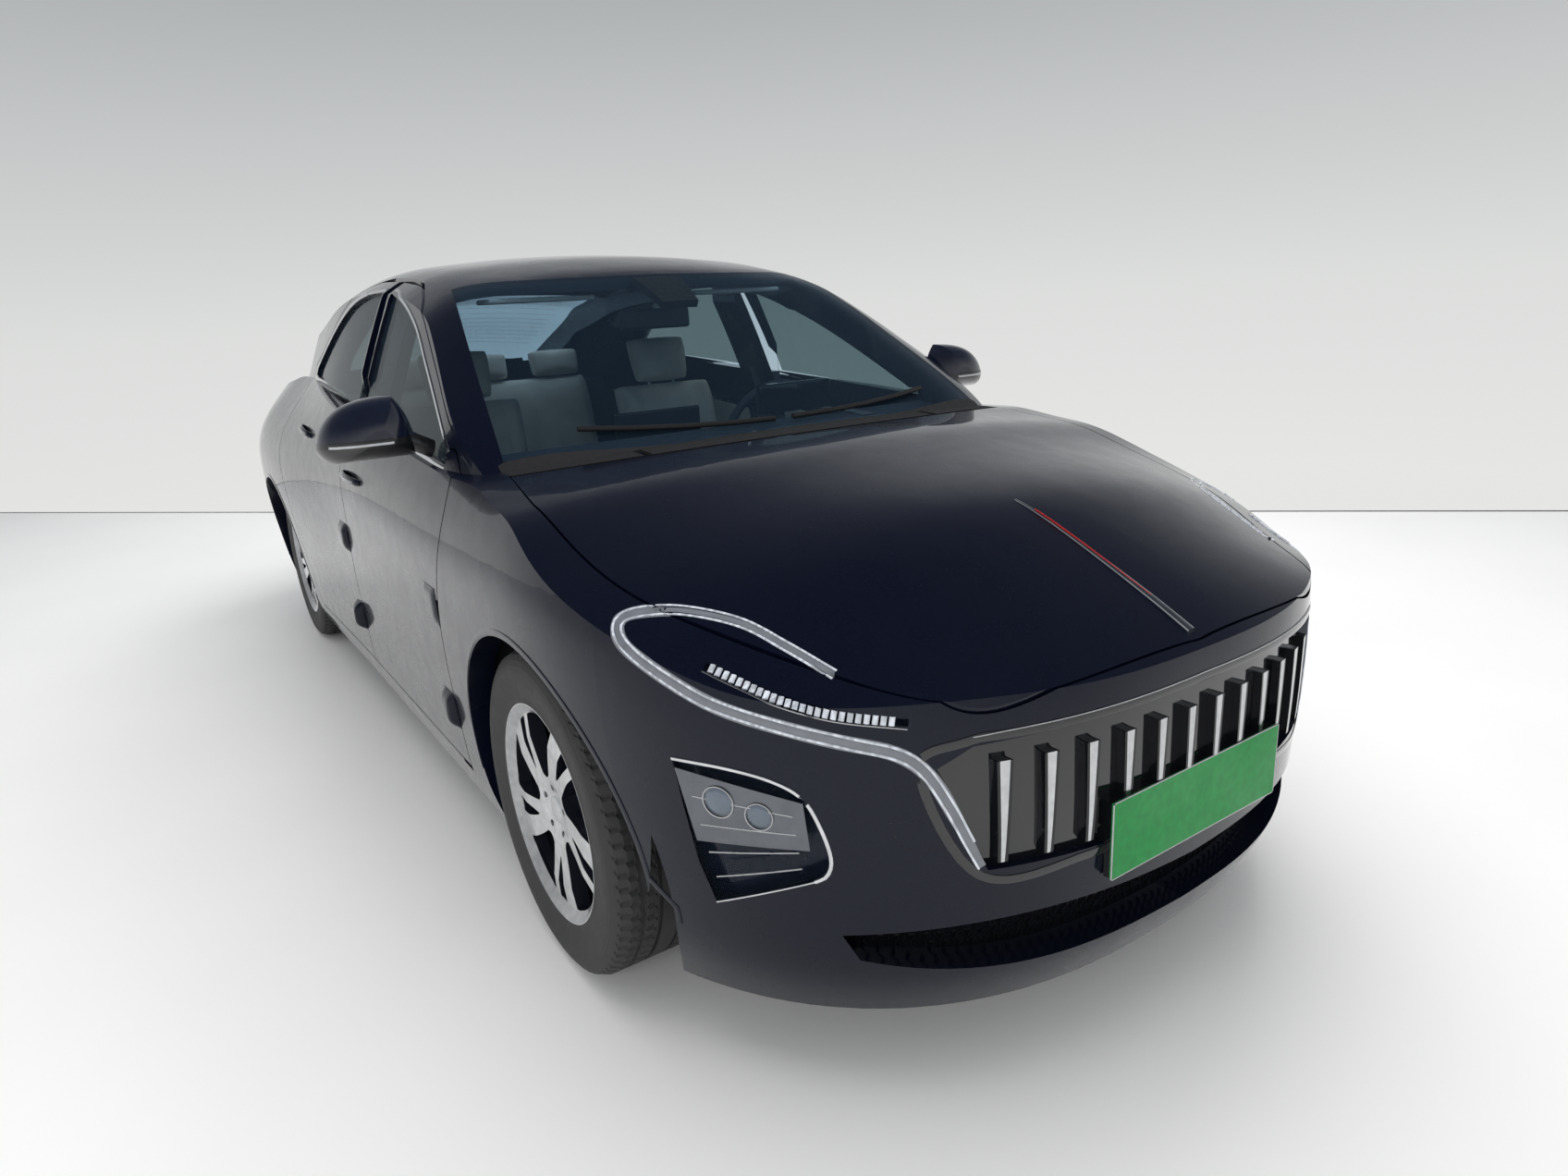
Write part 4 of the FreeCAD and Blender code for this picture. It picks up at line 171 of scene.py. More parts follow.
def span(tree, source, low, high, to_low=0.0, to_high=1.0):
    """A value carried from one range to another, and held inside it."""
    return node(tree, "MapRange", Value=source, From_Min=low, From_Max=high,
                To_Min=to_low, To_Max=to_high).outputs["Result"]


def sums(tree, kind, first, second=0.0):
    """Two values added, multiplied or compared, or one value changed."""
    made = node(tree, "Math")
    made.operation = kind
    for socket, value in zip(made.inputs, (first, second)):
        if isinstance(value, float):
            socket.default_value = value
        else:
            tree.links.new(value, socket)
    return made.outputs["Value"]


def mixed(tree, share, first, second):
    """A plain colour mixed with another node's colour by a value."""
    made = node(tree, "Mix")
    made.data_type = "RGBA"
    tree.links.new(share, made.inputs["Factor"])
    plain, other = [socket for socket in made.inputs if socket.type == "RGBA"]
    plain.default_value = (*first, 1.0)
    tree.links.new(second, other)
    return [socket for socket in made.outputs if socket.type == "RGBA"][0]


def mixed_shaders(tree, share, first, second):
    """Two shaders mixed by a value."""
    made = node(tree, "MixShader", Fac=share)
    tree.links.new(first, made.inputs[1])
    tree.links.new(second, made.inputs[2])
    return made.outputs["Shader"]


# Materials

def shades(colour, share, low=0.3, high=0.7):
    """Ramp stops from a darker tone of a colour to the colour."""
    return [(low, tuple(value * share for value in colour)), (high, colour)]


def spread(rough, low, high):
    """A roughness and how far it drifts, held below one."""
    return rough * low, min(1.0, rough * high)


def surface(name, grain, stops, rough, rough_grain=None, rough_span=(0.3, 0.7), relief=None, glow=None,
            **values):
    """A finish coloured over a grain, with roughness over the same or another, relief and glow if asked.
    A grain is the values of pattern; a relief is its height in metres, its strength and its own grain."""
    made, tree, shader = new_material(name)
    source = pattern(tree, *grain)
    tone = ramp(tree, source, stops)
    if isinstance(rough, tuple):
        rough = span(tree, pattern(tree, *rough_grain) if rough_grain else source, *rough_span, *rough)
    wire(tree, shader, Base_Color=tone, Roughness=rough, **values)
    if glow:
        wire(tree, shader, Emission_Color=tone, Emission_Strength=glow)
    if relief:
        depth, strength, *own = relief
        height = pattern(tree, *own) if own else source
        raised = node(tree, "Bump", Strength=strength, Distance=depth, Height=height)
        wire(tree, shader, Normal=raised.outputs["Normal"])
    return made


def two_toned(name, build_share, dark, grain, stops, rough, metallic=None, **values):
    """A finish that changes from a dark colour to a brighter one by a value of its own."""
    made, tree, shader = new_material(name)
    share = build_share(tree)
    tone = mixed(tree, share, dark, ramp(tree, pattern(tree, grain), stops))
    wire(tree, shader, Base_Color=tone, Roughness=span(tree, share, 0.0, 1.0, *rough), **values)
    if metallic:
        wire(tree, shader, Metallic=span(tree, share, 0.0, 1.0, *metallic))
    return made


def plastic(name, colour, rough, grain, depth):
    """Moulded plastic with a fine grain."""
    return surface(name, (grain, 2.0), shades(colour, 0.78), spread(rough, 0.85, 1.15), (grain / 6,),
                   relief=(depth, 1.0))


def gloss(name, colour, rough=0.06, coat=0.6):
    """Gloss plastic with a clear coat."""
    return surface(name, (40.0,), shades(colour, 0.8), (rough, rough * 1.8), (9.0,),
                   Coat_Weight=coat, Coat_Roughness=0.03)


def metal(name, colour, rough, grain, depth):
    """Bare metal: slightly uneven in colour and gloss."""
    return surface(name, (grain, 4.0), shades(colour, 0.82), spread(rough, 0.75, 1.25), None, (0.25, 0.75),
                   relief=(depth, 1.0), Metallic=1.0)


def leather(name, colour):
    """Seat leather: soft grain, faint creases and a low sheen."""
    return surface(name, (9.0, 4.0), shades(colour, 0.82), (0.42, 0.55),
                   relief=(0.0003, 0.5, 420.0, 0.0, None, "Distance"), Sheen_Weight=0.15)


def fabric(name, colour, scale):
    """Woven or felted lining with a fine thread."""
    return surface(name, (scale, 2.0, (1.0, 4.0, 1.0)), shades(colour, 0.75), (0.80, 0.95),
                   relief=(0.0006, 1.0), Sheen_Weight=0.4)


def light_guide(name, colour, power):
    """Moulded light guide: clear ribs over a pale reflector, faintly bright by itself."""
    return surface(name, (26.0, 1.0, (6.0, 1.0, 1.0)), shades(colour, 0.55, 0.35, 0.65), (0.10, 0.28),
                   glow=power, Coat_Weight=1.0, Coat_Roughness=0.02)


GLASS_TONES = [(0.3, (0.022, 0.040, 0.062)), (0.7, (0.028, 0.048, 0.072))]
EDGE_POWER, EDGE_SHARE = 5.0, 0.65


def glass(name, tint, through):
    """Window glass: a tinted see-through sheet whose reflection grows towards the edge of sight."""
    made, tree, shader = new_material(name)
    tone = ramp(tree, pattern(tree, 3.0), GLASS_TONES)
    wire(tree, shader, Base_Color=tone, Roughness=0.0, IOR=1.5, Specular_IOR_Level=0.8)
    clear = node(tree, "BsdfTransparent", Color=(*tint, 1.0))
    edge = sums(tree, "POWER", node(tree, "LayerWeight", Blend=0.5).outputs["Facing"], EDGE_POWER)
    share = sums(tree, "ADD", sums(tree, "MULTIPLY", edge, EDGE_SHARE), 1.0 - through)
    sheet = mixed_shaders(tree, share, clear.outputs["BSDF"], shader.outputs["BSDF"])
    wire(tree, tree.nodes["Material Output"], Surface=sheet)
    return made


def body_paint():
    """Dark navy lacquer: fine flakes under a smooth clear coat."""
    flakes = [(0.0, (0.0020, 0.0032, 0.0095)), (0.8, (0.0032, 0.0052, 0.0150)), (1.0, (0.010, 0.015, 0.036))]
    return surface("body_paint", (1100.0, 0.0, None, "Color"), flakes, (0.25, 0.34), (14.0,), Metallic=0.2,
                   Specular_IOR_Level=0.1, Coat_Weight=1.0, Coat_Roughness=0.015, Coat_IOR=1.28)


def rubber():
    """Tyre rubber: grey black and matt."""
    return surface("tyre_rubber", (25.0, 5.0), [(0.3, (0.020, 0.020, 0.020)), (0.7, (0.040, 0.039, 0.038))],
                   (0.58, 0.78), relief=(0.0002, 0.6, 700.0, 2.0))


def screen_face():
    """Dark display behind glass with soft plain bars, no letters."""
    return surface("display", (18.0, 1.0, (0.2, 1.0, 3.0)),
                   [(0.45, (0.004, 0.006, 0.010)), (0.60, (0.010, 0.022, 0.040)), (0.75, (0.05, 0.09, 0.13))],
                   0.08, glow=0.6)


# How far out the rim's turned face and the brake disc stand, and how square to the axle they face
RIM_FACE = ((0.72, 0.86), (0.845, 0.850))
RIM_DISC = ((0.80, 0.95), (0.803, 0.8025))


def rim_metal():
    """Alloy wheel: turned bright faces on its outer side, dark lacquer in the pockets, bare steel discs."""
    def bright(tree):
        flat = sums(tree, "ABSOLUTE", along(tree, "Y", "Normal"))
        out = sums(tree, "ABSOLUTE", along(tree, "Y"))
        face, disc = (sums(tree, "MULTIPLY", span(tree, flat, *square), span(tree, out, *reach))
                      for square, reach in (RIM_FACE, RIM_DISC))
        return sums(tree, "MAXIMUM", face, disc)
    return two_toned("rim_metal", bright, (0.014, 0.016, 0.024), 50.0,
                     [(0.3, (0.52, 0.53, 0.54)), (0.7, (0.70, 0.70, 0.71))], (0.26, 0.30), (0.30, 0.85),
                     Coat_Weight=0.6, Coat_Roughness=0.04)


BAR_PITCH = 0.078
BAR_SHIFT = 20.0
BAR_FACE = (0.0032, 0.0085)
BAR_FOOT, BAR_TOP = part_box("grille_bars")[0][2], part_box("grille_bars")[1][2]
SOFT_EDGE = 0.0006


def bar_metal():
    """Grille bars: a bright face that narrows downwards, between dark flanks."""
    def face(tree):
        turn = sums(tree, "ADD", sums(tree, "DIVIDE", along(tree, "Y"), BAR_PITCH), BAR_SHIFT)
        turn = sums(tree, "FRACT", turn)
        off = sums(tree, "MULTIPLY", sums(tree, "ABSOLUTE", sums(tree, "SUBTRACT", turn, 0.5)), BAR_PITCH)
        width = span(tree, along(tree, "Z"), BAR_FOOT, BAR_TOP, *BAR_FACE)
        return span(tree, sums(tree, "SUBTRACT", width, off), 0.0, SOFT_EDGE)
    return two_toned("grille_bar", face, (0.006, 0.0065, 0.008), 60.0,
                     [(0.3, (0.50, 0.51, 0.52)), (0.7, (0.62, 0.63, 0.64))], (0.10, 0.24), (0.0, 1.0))


MIRROR_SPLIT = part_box("mirror_right")[0][2] + 0.062
SPLIT_EDGE = 0.0005


def mirror_shell():
    """Door mirror: navy lacquer on the upper shell, black plastic below one level."""
    def upper(tree):
        return span(tree, along(tree, "Z"), MIRROR_SPLIT - SPLIT_EDGE, MIRROR_SPLIT + SPLIT_EDGE)
    return two_toned("mirror_shell", upper, (0.006, 0.006, 0.007), 60.0,
                     [(0.3, (0.0035, 0.0055, 0.0150)), (0.7, (0.0050, 0.0080, 0.0210))], (0.40, 0.25),
                     Coat_Weight=0.8, Coat_Roughness=0.03)


# Finishes by name, with the values of the function that makes them
FINISHES = {
    plastic: {
        "under_metal": ((0.030, 0.031, 0.034), 0.5, 120.0, 0.0001),
        "liner_plastic": ((0.017, 0.017, 0.018), 0.75, 300.0, 0.0003),
        "black_matte": ((0.014, 0.014, 0.015), 0.55, 400.0, 0.0001),
        "plate": ((0.003, 0.27, 0.050), 0.50, 60.0, 0.00002),
        "dash": ((0.026, 0.028, 0.034), 0.6, 350.0, 0.0002)},
    gloss: {
        "black_gloss": ((0.006, 0.0065, 0.008),),
        "day_lamp": ((0.16, 0.17, 0.19), 0.16),
        "tail_lamp": ((0.30, 0.006, 0.008), 0.08),
        "red_line": ((0.45, 0.010, 0.012), 0.15),
        "silver_cap": ((0.50, 0.51, 0.52), 0.22),
        "lens": ((0.09, 0.12, 0.16), 0.03, 1.0)},
    metal: {
        "cast_steel": ((0.16, 0.16, 0.165), 0.5, 90.0, 0.0002),
        "cast_metal": ((0.33, 0.33, 0.34), 0.45, 90.0, 0.0002),
        "chrome": ((0.72, 0.73, 0.75), 0.12, 30.0, 0.00001),
        "mirror_glass": ((0.80, 0.82, 0.84), 0.03, 10.0, 0.000001),
        "satin": ((0.48, 0.49, 0.50), 0.28, 40.0, 0.00002),
        "reflector": ((0.17, 0.18, 0.20), 0.30, 30.0, 0.00002)},
    glass: {
        "side_glass": ((0.62, 0.68, 0.66), 0.80),
        "screen_glass": ((0.80, 0.90, 0.96), 0.88),
        "lamp_glass": ((0.93, 0.95, 0.97), 0.96)},
    leather: {
        "seat_leather": ((0.56, 0.49, 0.41),),
        "dark_leather": ((0.022, 0.022, 0.024),)},
    fabric: {
        "headliner": ((0.52, 0.50, 0.46), 600.0),
        "belt": ((0.025, 0.026, 0.028), 900.0)},
    light_guide: {
        "guide": ((0.62, 0.65, 0.70), 0.10),
        "red_guide": ((0.55, 0.010, 0.012), 0.25)}}
MATERIALS = {name: make(name, *values) for make, rows in FINISHES.items() for name, values in rows.items()}
MATERIALS.update({"body_paint": body_paint(), "rim": rim_metal(), "tyre": rubber(),
                  "mirror_shell": mirror_shell(), "display": screen_face()})


def dress_nodes():
    """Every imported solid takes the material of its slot, and the grille bars their own."""
    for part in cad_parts.values():
        for slot in part.material_slots:
            slot.material = MATERIALS[slot.material.name]
    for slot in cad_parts["grille_bars"].material_slots:
        slot.material = bar_metal()


# Camera, floor and light

def linked(name, data):
    """An object of the scene from its data."""
    made = bpy.data.objects.new(name, data)
    bpy.context.collection.objects.link(made)
    return made


def add_camera():
    """The camera fitted to the photograph: pitch, yaw and roll about the view direction."""
    flat = math.cos(CAMERA_PITCH)
    ahead = at(math.cos(CAMERA_YAW) * flat, math.sin(CAMERA_YAW) * flat, math.sin(CAMERA_PITCH))
    right = ahead.cross(at(0, 0, 1)).normalized()
    up = right.cross(ahead)
    turned = right * math.cos(CAMERA_ROLL) + up * math.sin(CAMERA_ROLL)
    upright = up * math.cos(CAMERA_ROLL) - right * math.sin(CAMERA_ROLL)
    data = bpy.data.cameras.new("camera")
    data.lens = CAMERA_LENS
    data.sensor_width = CAMERA_SENSOR
    camera = linked("camera", data)
    camera.matrix_world = (Matrix.Translation(CAMERA_PLACE)
                           @ Matrix((turned, upright, -ahead)).transposed().to_4x4())
    bpy.context.scene.camera = camera


def add_strip_of_floor(name, near, far, finish):
    """A flat strip of ground along the foot of the wall, between two distances in front of it."""
    start, end = (at(x, y, 0) for x, y in FLOOR_EDGE)
    run = (end - start).normalized()
    front = at(run.y, -run.x, 0)
    half = run * FLOOR_SIZE / 2
    centre = (start + end) / 2
    corners = [centre - half + front * near, centre + half + front * near,
               centre + half + front * far, centre - half + front * far]
    mesh = bpy.data.meshes.new(name)
    mesh.from_pydata([tuple(p) for p in corners], [], [(3, 2, 1, 0)])
    mesh.materials.append(finish)
    linked(name, mesh)


def add_floor():
    """A wide plain floor of one even tone with a faint satin gloss, and a dark line at the wall's foot."""
    finish = surface("floor", (1.5, 4.0), shades(FLOOR_COLOUR, 0.985), (0.42, 0.50), Specular_IOR_Level=0.25)
    add_strip_of_floor("floor", 0.0, FLOOR_SIZE / 2, finish)
    add_strip_of_floor("wall_foot", -EDGE_LINE, 0.0, MATERIALS["black_matte"])


def add_world():
    """Pale surroundings as the backdrop and in mirrored light, and a plain tone for all other light."""
    world = bpy.context.scene.world or bpy.data.worlds.new("world")
    bpy.context.scene.world = world
    world.use_nodes = True
    tree = world.node_tree
    tree.nodes.clear()
    hall = ramp(tree, span(tree, along(tree, "Z", "Generated"), -1.0, 1.0), BACKDROP)
    plain = node(tree, "Background", Color=WORLD_TINT, Strength=WORLD_STRENGTH)
    shown = node(tree, "Background", Color=hall, Strength=1.0)
    rays = node(tree, "LightPath").outputs
    sharp = sums(tree, "MAXIMUM", rays["Is Camera Ray"], rays["Is Glossy Ray"])
    sharp = sums(tree, "MAXIMUM", sharp, rays["Is Transmission Ray"])
    sky = mixed_shaders(tree, sharp, plain.outputs["Background"], shown.outputs["Background"])
    node(tree, "OutputWorld", Surface=sky)


def add_lamp(name, place, size, power, colour):
    """A wide area lamp aimed at the middle of the car; the lacquer doesn't mirror it."""
    data = bpy.data.lights.new(name, "AREA")
    data.shape = "RECTANGLE"
    data.size, data.size_y = size
    data.energy = power
    data.color = colour
    lamp = linked(name, data)
    lamp.location = place
    lamp.rotation_euler = (Vector(LAMP_AIM) - Vector(place)).to_track_quat("-Z", "Y").to_euler()
    lamp.visible_camera = lamp.visible_glossy = False


# Mesh helpers

def new_object(name, mesh, finish):
    """A mesh as an object of the scene, with its finish by name."""
    made = linked(name, mesh)
    mesh.materials.append(MATERIALS[finish])
    return made


SAME_POINT = 1e-6
SHARP_ANGLE = math.radians(40)


def from_data(points, faces, smooth=True):
    """A mesh from its points and faces, with one outward side."""
    mesh = bpy.data.meshes.new("piece")
    mesh.from_pydata([tuple(p) for p in points], [], faces)
    mesh.validate()
    shaped = bmesh.new()
    shaped.from_mesh(mesh)
    bmesh.ops.remove_doubles(shaped, verts=shaped.verts, dist=SAME_POINT)
    bmesh.ops.recalc_face_normals(shaped, faces=shaped.faces)
    shaped.to_mesh(mesh)
    shaped.free()
    if smooth:
        mesh.shade_smooth()
    return mesh


def gathered(parts, smooth=False):
    """One mesh from several lists of points and faces."""
    points, faces = [], []
    for more, sides in parts:
        base = len(points)
        points.extend(more)
        faces.extend([tuple(base + corner for corner in side) for side in sides])
    return from_data(points, faces, smooth)


def mirrored(part):
    """A part on the car's other side."""
    points, faces = part
    return [at(p[0], -p[1], p[2]) for p in points], [tuple(reversed(side)) for side in faces]


def both_sides(parts):
    """Parts and their mirrored twins."""
    return [twin for part in parts for twin in (part, mirrored(part))]


def piece(name, parts, finish, body="car_body", slot=None, smooth=True):
    """One object from several parts, riding on a body; without parts there is none."""
    if not parts:
        return
    made = new_object(name, gathered(parts, smooth), finish)
    if smooth:
        made.data.set_sharp_from_angle(angle=SHARP_ANGLE)
    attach(made, body)


def on_doors(door, rows, end=""):
    """Pieces of a right door and of the left one: rows of name, parts of the right side, finish, slot."""
    for side in SIDES:
        for name, parts, finish, *slot in rows:
            own = parts if side == "right" else [mirrored(part) for part in parts]
            piece(name + "_" + side + end, own, finish, door + "_door_" + side, *slot)


def tube_part(rings, looped=False):
    """A skin through rings of points of equal count; looped joins the last ring to the first."""
    count = len(rings[0])
    points = [point for ring in rings for point in ring]
    faces = []
    for number in range(len(rings) if looped else len(rings) - 1):
        for corner in range(count):
            after = (corner + 1) % count
            first, second = number * count, (number + 1) % len(rings) * count
            faces.append((first + corner, first + after, second + after, second + corner))
    if not looped:
        faces.append(tuple(reversed(range(count))))
        last = (len(rings) - 1) * count
        faces.append(tuple(range(last, last + count)))
    return points, faces


def plate_part(top, back):
    """A closed plate from its upper and lower rows of points."""
    return tube_part([ring + list(reversed(under)) for ring, under in zip(top, back)])


def sheet_faces(count, wide):
    """The faces of a closed sheet: count rows of wide points on top, as many below, and the rim between."""
    faces, shift = [], count * wide
    for number in range(count - 1):
        for row in range(wide - 1):
            a, b = number * wide + row, number * wide + row + 1
            c, d = b + wide, a + wide
            faces.append((a, b, c, d))
            faces.append((shift + d, shift + c, shift + b, shift + a))
    rim = list(range(wide)) + [number * wide + wide - 1 for number in range(1, count)]
    rim += [(count - 1) * wide + row for row in range(wide - 2, -1, -1)]
    rim += [number * wide for number in range(count - 2, 0, -1)]
    for number, corner in enumerate(rim):
        after = rim[(number + 1) % len(rim)]
        faces.append((corner, shift + corner, shift + after, after))
    return faces


BEVEL_SHARE = 0.7


def slab_outline(width, depth, sides=3):
    """A flat strip's section with rounded outer corners; its back is on the line, its face at the depth."""
    bevel = min(width / 2, depth) * BEVEL_SHARE
    points = [(-width / 2, 0.0), (width / 2, 0.0)]
    for side, start in ((1, 0.0), (-1, math.pi / 2)):
        for corner in range(sides + 1):
            angle = start + corner / sides * math.pi / 2
            points.append((side * (width / 2 - bevel) + bevel * math.cos(angle),
                           depth - bevel + bevel * math.sin(angle)))
    return points


def round_outline(width, depth, sides=12):
    """An ellipse about the path."""
    angles = [2 * math.pi * corner / sides for corner in range(sides)]
    return [(width / 2 * math.cos(angle), depth / 2 * math.sin(angle)) for angle in angles]


def swept(path, outline_at, looped=False):
    """A strip along a path of places and their ways out; the outline is given by the share of the way."""
    rings, count = [], len(path)
    for number, (point, up) in enumerate(path):
        ahead = path[(number + 1) % count][0] if looped or number + 1 < count else point
        behind = path[number - 1][0] if looped or number else point
        run = (ahead - behind).normalized()
        side = run.cross(up).normalized()
        raised = side.cross(run).normalized()
        rings.append([point + side * x + raised * y for x, y in outline_at(number / max(1, count - 1))])
    return tube_part(rings, looped)


def resampled(points, step):
    """Points along a line at an even distance."""
    lengths = [0.0]
    for first, second in zip(points, points[1:]):
        lengths.append(lengths[-1] + (second - first).length)
    count = max(2, int(lengths[-1] / step) + 1)
    made, seat = [], 0
    for number in range(count):
        want = lengths[-1] * number / (count - 1)
        while seat < len(points) - 2 and lengths[seat + 1] < want:
            seat += 1
        gap = lengths[seat + 1] - lengths[seat]
        share = (want - lengths[seat]) / gap if gap > 1e-9 else 0.0
        made.append(points[seat].lerp(points[seat + 1], min(1.0, max(0.0, share))))
    return made


def smoothed(points, per_span=8):
    """A curve through points, by cardinal spans."""
    made = []
    for number in range(len(points) - 1):
        start, end = points[number], points[number + 1]
        before = points[number - 1] if number else start + (start - end)
        after = points[number + 2] if number + 2 < len(points) else end + (end - start)
        for part in range(per_span):
            share = part / per_span
            square, cube = share * share, share * share * share
            made.append(0.5 * (2 * start + (end - before) * share
                               + (2 * before - 5 * start + 4 * end - after) * square
                               + (3 * start - before - 3 * end + after) * cube))
    return made + [points[-1]]


def turned_part(profile, centre, axis, count):
    """A profile of pairs (radius, along) turned about an axis."""
    axis = axis.normalized()
    across = axis.orthogonal().normalized()
    third = axis.cross(across)
    points, faces = [], []
    wide = len(profile)
    for number in range(count):
        angle = 2 * math.pi * number / count
        out = across * math.cos(angle) + third * math.sin(angle)
        points += [centre + out * radius + axis * along for radius, along in profile]
        after = (number + 1) % count
        for seat in range(number * wide, number * wide + wide - 1):
            other = seat + (after - number) * wide
            faces.append((seat, seat + 1, other + 1, other))
    return points, faces


def block(low, high, bevel):
    """A block between two corners with its edges cut, as points and faces."""
    shaped = bmesh.new()
    bmesh.ops.create_cube(shaped, size=1.0)
    centre = (Vector(low) + Vector(high)) / 2
    size = Vector(high) - Vector(low)
    for vertex in shaped.verts:
        vertex.co = vertex.co * size + centre
    bmesh.ops.bevel(shaped, geom=list(shaped.edges), offset=bevel, segments=3, affect="EDGES", profile=0.5)
    shaped.verts.index_update()
    points = [vertex.co.copy() for vertex in shaped.verts]
    faces = [tuple(vertex.index for vertex in side.verts) for side in shaped.faces]
    shaped.free()
    return points, faces


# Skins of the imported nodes, to lay pieces on

FROM_RIGHT, FROM_LEFT = at(0, 1, 0), at(0, -1, 0)
FROM_AHEAD, FROM_BEHIND = at(-1, 0, 0), at(1, 0, 0)
FROM_ABOVE, FROM_BELOW = at(0, 0, -1), at(0, 0, 1)
FROM_LAMP_SIDE = at(-0.83, 0.43, -0.36)
SINK, LINING_SINK = -0.0006, 0.0008
TREES = {}


def skin(names):
    """A search tree over the surfaces of some nodes."""
    if names not in TREES:
        points, faces = [], []
        for name in names:
            mesh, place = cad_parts[name].data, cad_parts[name].matrix_world
            base = len(points)
            points.extend([place @ vertex.co for vertex in mesh.vertices])
            faces.extend([tuple(base + corner for corner in side.vertices) for side in mesh.polygons])
        TREES[names] = BVHTree.FromPolygons(points, faces)
    return TREES[names]


def landed(names, point, aim, reach=1.5):
    """Where a line from outside first meets the nodes, and the surface's way out; none if it misses."""
    aim = aim.normalized()
    place, out, _, _ = skin(names).ray_cast(point - aim * reach, aim, 3 * reach)
    if place is None:
        return None, None
    return place, -out if out.dot(aim) > 0 else out


def laid(names, points, aim, lift=0.0, reach=1.5):
    """Places on the nodes below points, each with its way out; misses are left out."""
    found = [landed(names, point, aim, reach) for point in points]
    return [(place + out * lift, out) for place, out in found if place is not None]


def strip(path, width, depth, looped=False, sides=3):
    """A strip of one even section, as a list of parts."""
    if len(path) < 2:
        return []
    return [swept(path, lambda share: slab_outline(width, depth, sides), looped)]


def line_on(names, points, aim, width, depth, lift=SINK, sides=3):
    """A strip laid on the skin through points."""
    return strip(laid(names, points, aim, lift), width, depth, False, sides)


def loop_on(names, points, aim, width, depth, step):
    """A closed strip laid on the skin."""
    line = resampled(smoothed(points + points[:1]), step)[:-1]
    return strip(laid(names, line, aim, SINK), width, depth, True)


def patch(names, first, second, aim, thick, rows, lift=0.0):
    """A thin plate on the skin between two lines."""
    top, back = [], []
    for start, end in zip(first, second):
        for row in range(rows + 1):
            want = start.lerp(end, row / rows)
            place, out = landed(names, want, aim)
            if place is None:
                place, out, _, _ = skin(names).find_nearest(want)
            top.append(place + out * (lift + thick))
            back.append(place + out * lift)
    return top + back, sheet_faces(len(first), rows + 1)


def inside_patch(names, first, second, aim, thick, rows, reach):
    """A lining laid on the inner side of some nodes; a row that misses is left out."""
    top, back = [], []
    for start, stop in zip(first, second):
        found = [landed(names, start.lerp(stop, row / rows), aim, reach) for row in range(rows + 1)]
        if all(place is not None for place, _ in found):
            top.append([place + out * thick for place, out in found])
            back.append([place - out * LINING_SINK for place, out in found])
    return [plate_part(top, back)] if len(top) > 2 else []


# Wheels

TYRE_SEGMENTS = 288
WALL_ROWS, TREAD_ROWS = 9, 33
BEAD_RADIUS = 0.2485
BEAD_DEPTH = 0.010
TYRE_EDGES = (0.002, 0.022, 0.006, 0.03)
TYRE_REACH = 0.3
GROOVES = (-0.062, -0.022, 0.022, 0.062)
GROOVE_DEPTH, GROOVE_HALF, GROOVE_FLOOR, GROOVE_FROM = 0.0065, 0.0045, 0.0045 * 0.9, 0.3
TREAD_FROM, TREAD_HALF = 0.328, 0.106
# Slanted cuts: where they start, their lean over a run, their count, their share of the pitch and depth
CUT_FROM, CUT_LEAN, CUT_RUN, CUT_COUNT, CUT_SHARE, CUT_DEPTH = 0.030, 1.6, 0.11, 72, 0.26, 0.75
CAP = [(0.0, 0.0045), (0.012, 0.0042), (0.024, 0.0030), (0.030, 0.0012), (0.032, -0.006)]
CAP_PLACE, CAP_SIDES = 0.0860, 48
BOLT = [(0.0, 0.004), (0.0075, 0.004), (0.0095, 0.0015), (0.0095, -0.012)]
BOLT_PLACE, BOLT_CIRCLE, BOLT_COUNT, BOLT_TURN, BOLT_SIDES = 0.0865, 0.055, 5, 0.25, 6


def tyre_rows(node_name, centre, half):
    """The tyre's section as pairs (radius, place across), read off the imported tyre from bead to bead."""
    rows = []
    above_bead, under_tread, from_wall, spare = TYRE_EDGES
    for number in range(WALL_ROWS):
        share = number / (WALL_ROWS - 1)
        radius = BEAD_RADIUS + above_bead + (TYRE_RADIUS - under_tread - BEAD_RADIUS) * share
        place, _ = landed((node_name,), centre + at(0, half, radius), FROM_LEFT, TYRE_REACH)
        rows.append((radius, place.y - centre.y if place else half))
    for number in range(TREAD_ROWS):
        across = (half - from_wall) * (1 - 2 * number / (TREAD_ROWS - 1))
        place, _ = landed((node_name,), centre + at(0, across, TYRE_RADIUS), FROM_ABOVE, TYRE_REACH)
        rows.append((place.z - centre.z if place else TYRE_RADIUS - spare, across))
    return rows + [(radius, -across) for radius, across in reversed(rows[:WALL_ROWS])]


def finer_rows(rows):
    """The section with a row between each two, and rows at the edges of the grooves."""
    fine = []
    for (radius, across), (after_radius, after_across) in zip(rows, rows[1:]):
        fine += [(radius, across),
                 (radius + (after_radius - radius) / 2, across + (after_across - across) / 2)]
    fine.append(rows[-1])
    for groove in GROOVES:
        for edge in (-GROOVE_HALF, -GROOVE_FLOOR, GROOVE_FLOOR, GROOVE_HALF):
            for seat, ((radius, across), (after_radius, after_across)) in enumerate(zip(fine, fine[1:])):
                if across > groove + edge > after_across and radius > GROOVE_FROM:
                    share = (across - groove - edge) / (across - after_across)
                    fine.insert(seat + 1, (radius + (after_radius - radius) * share, groove + edge))
                    break
    return fine


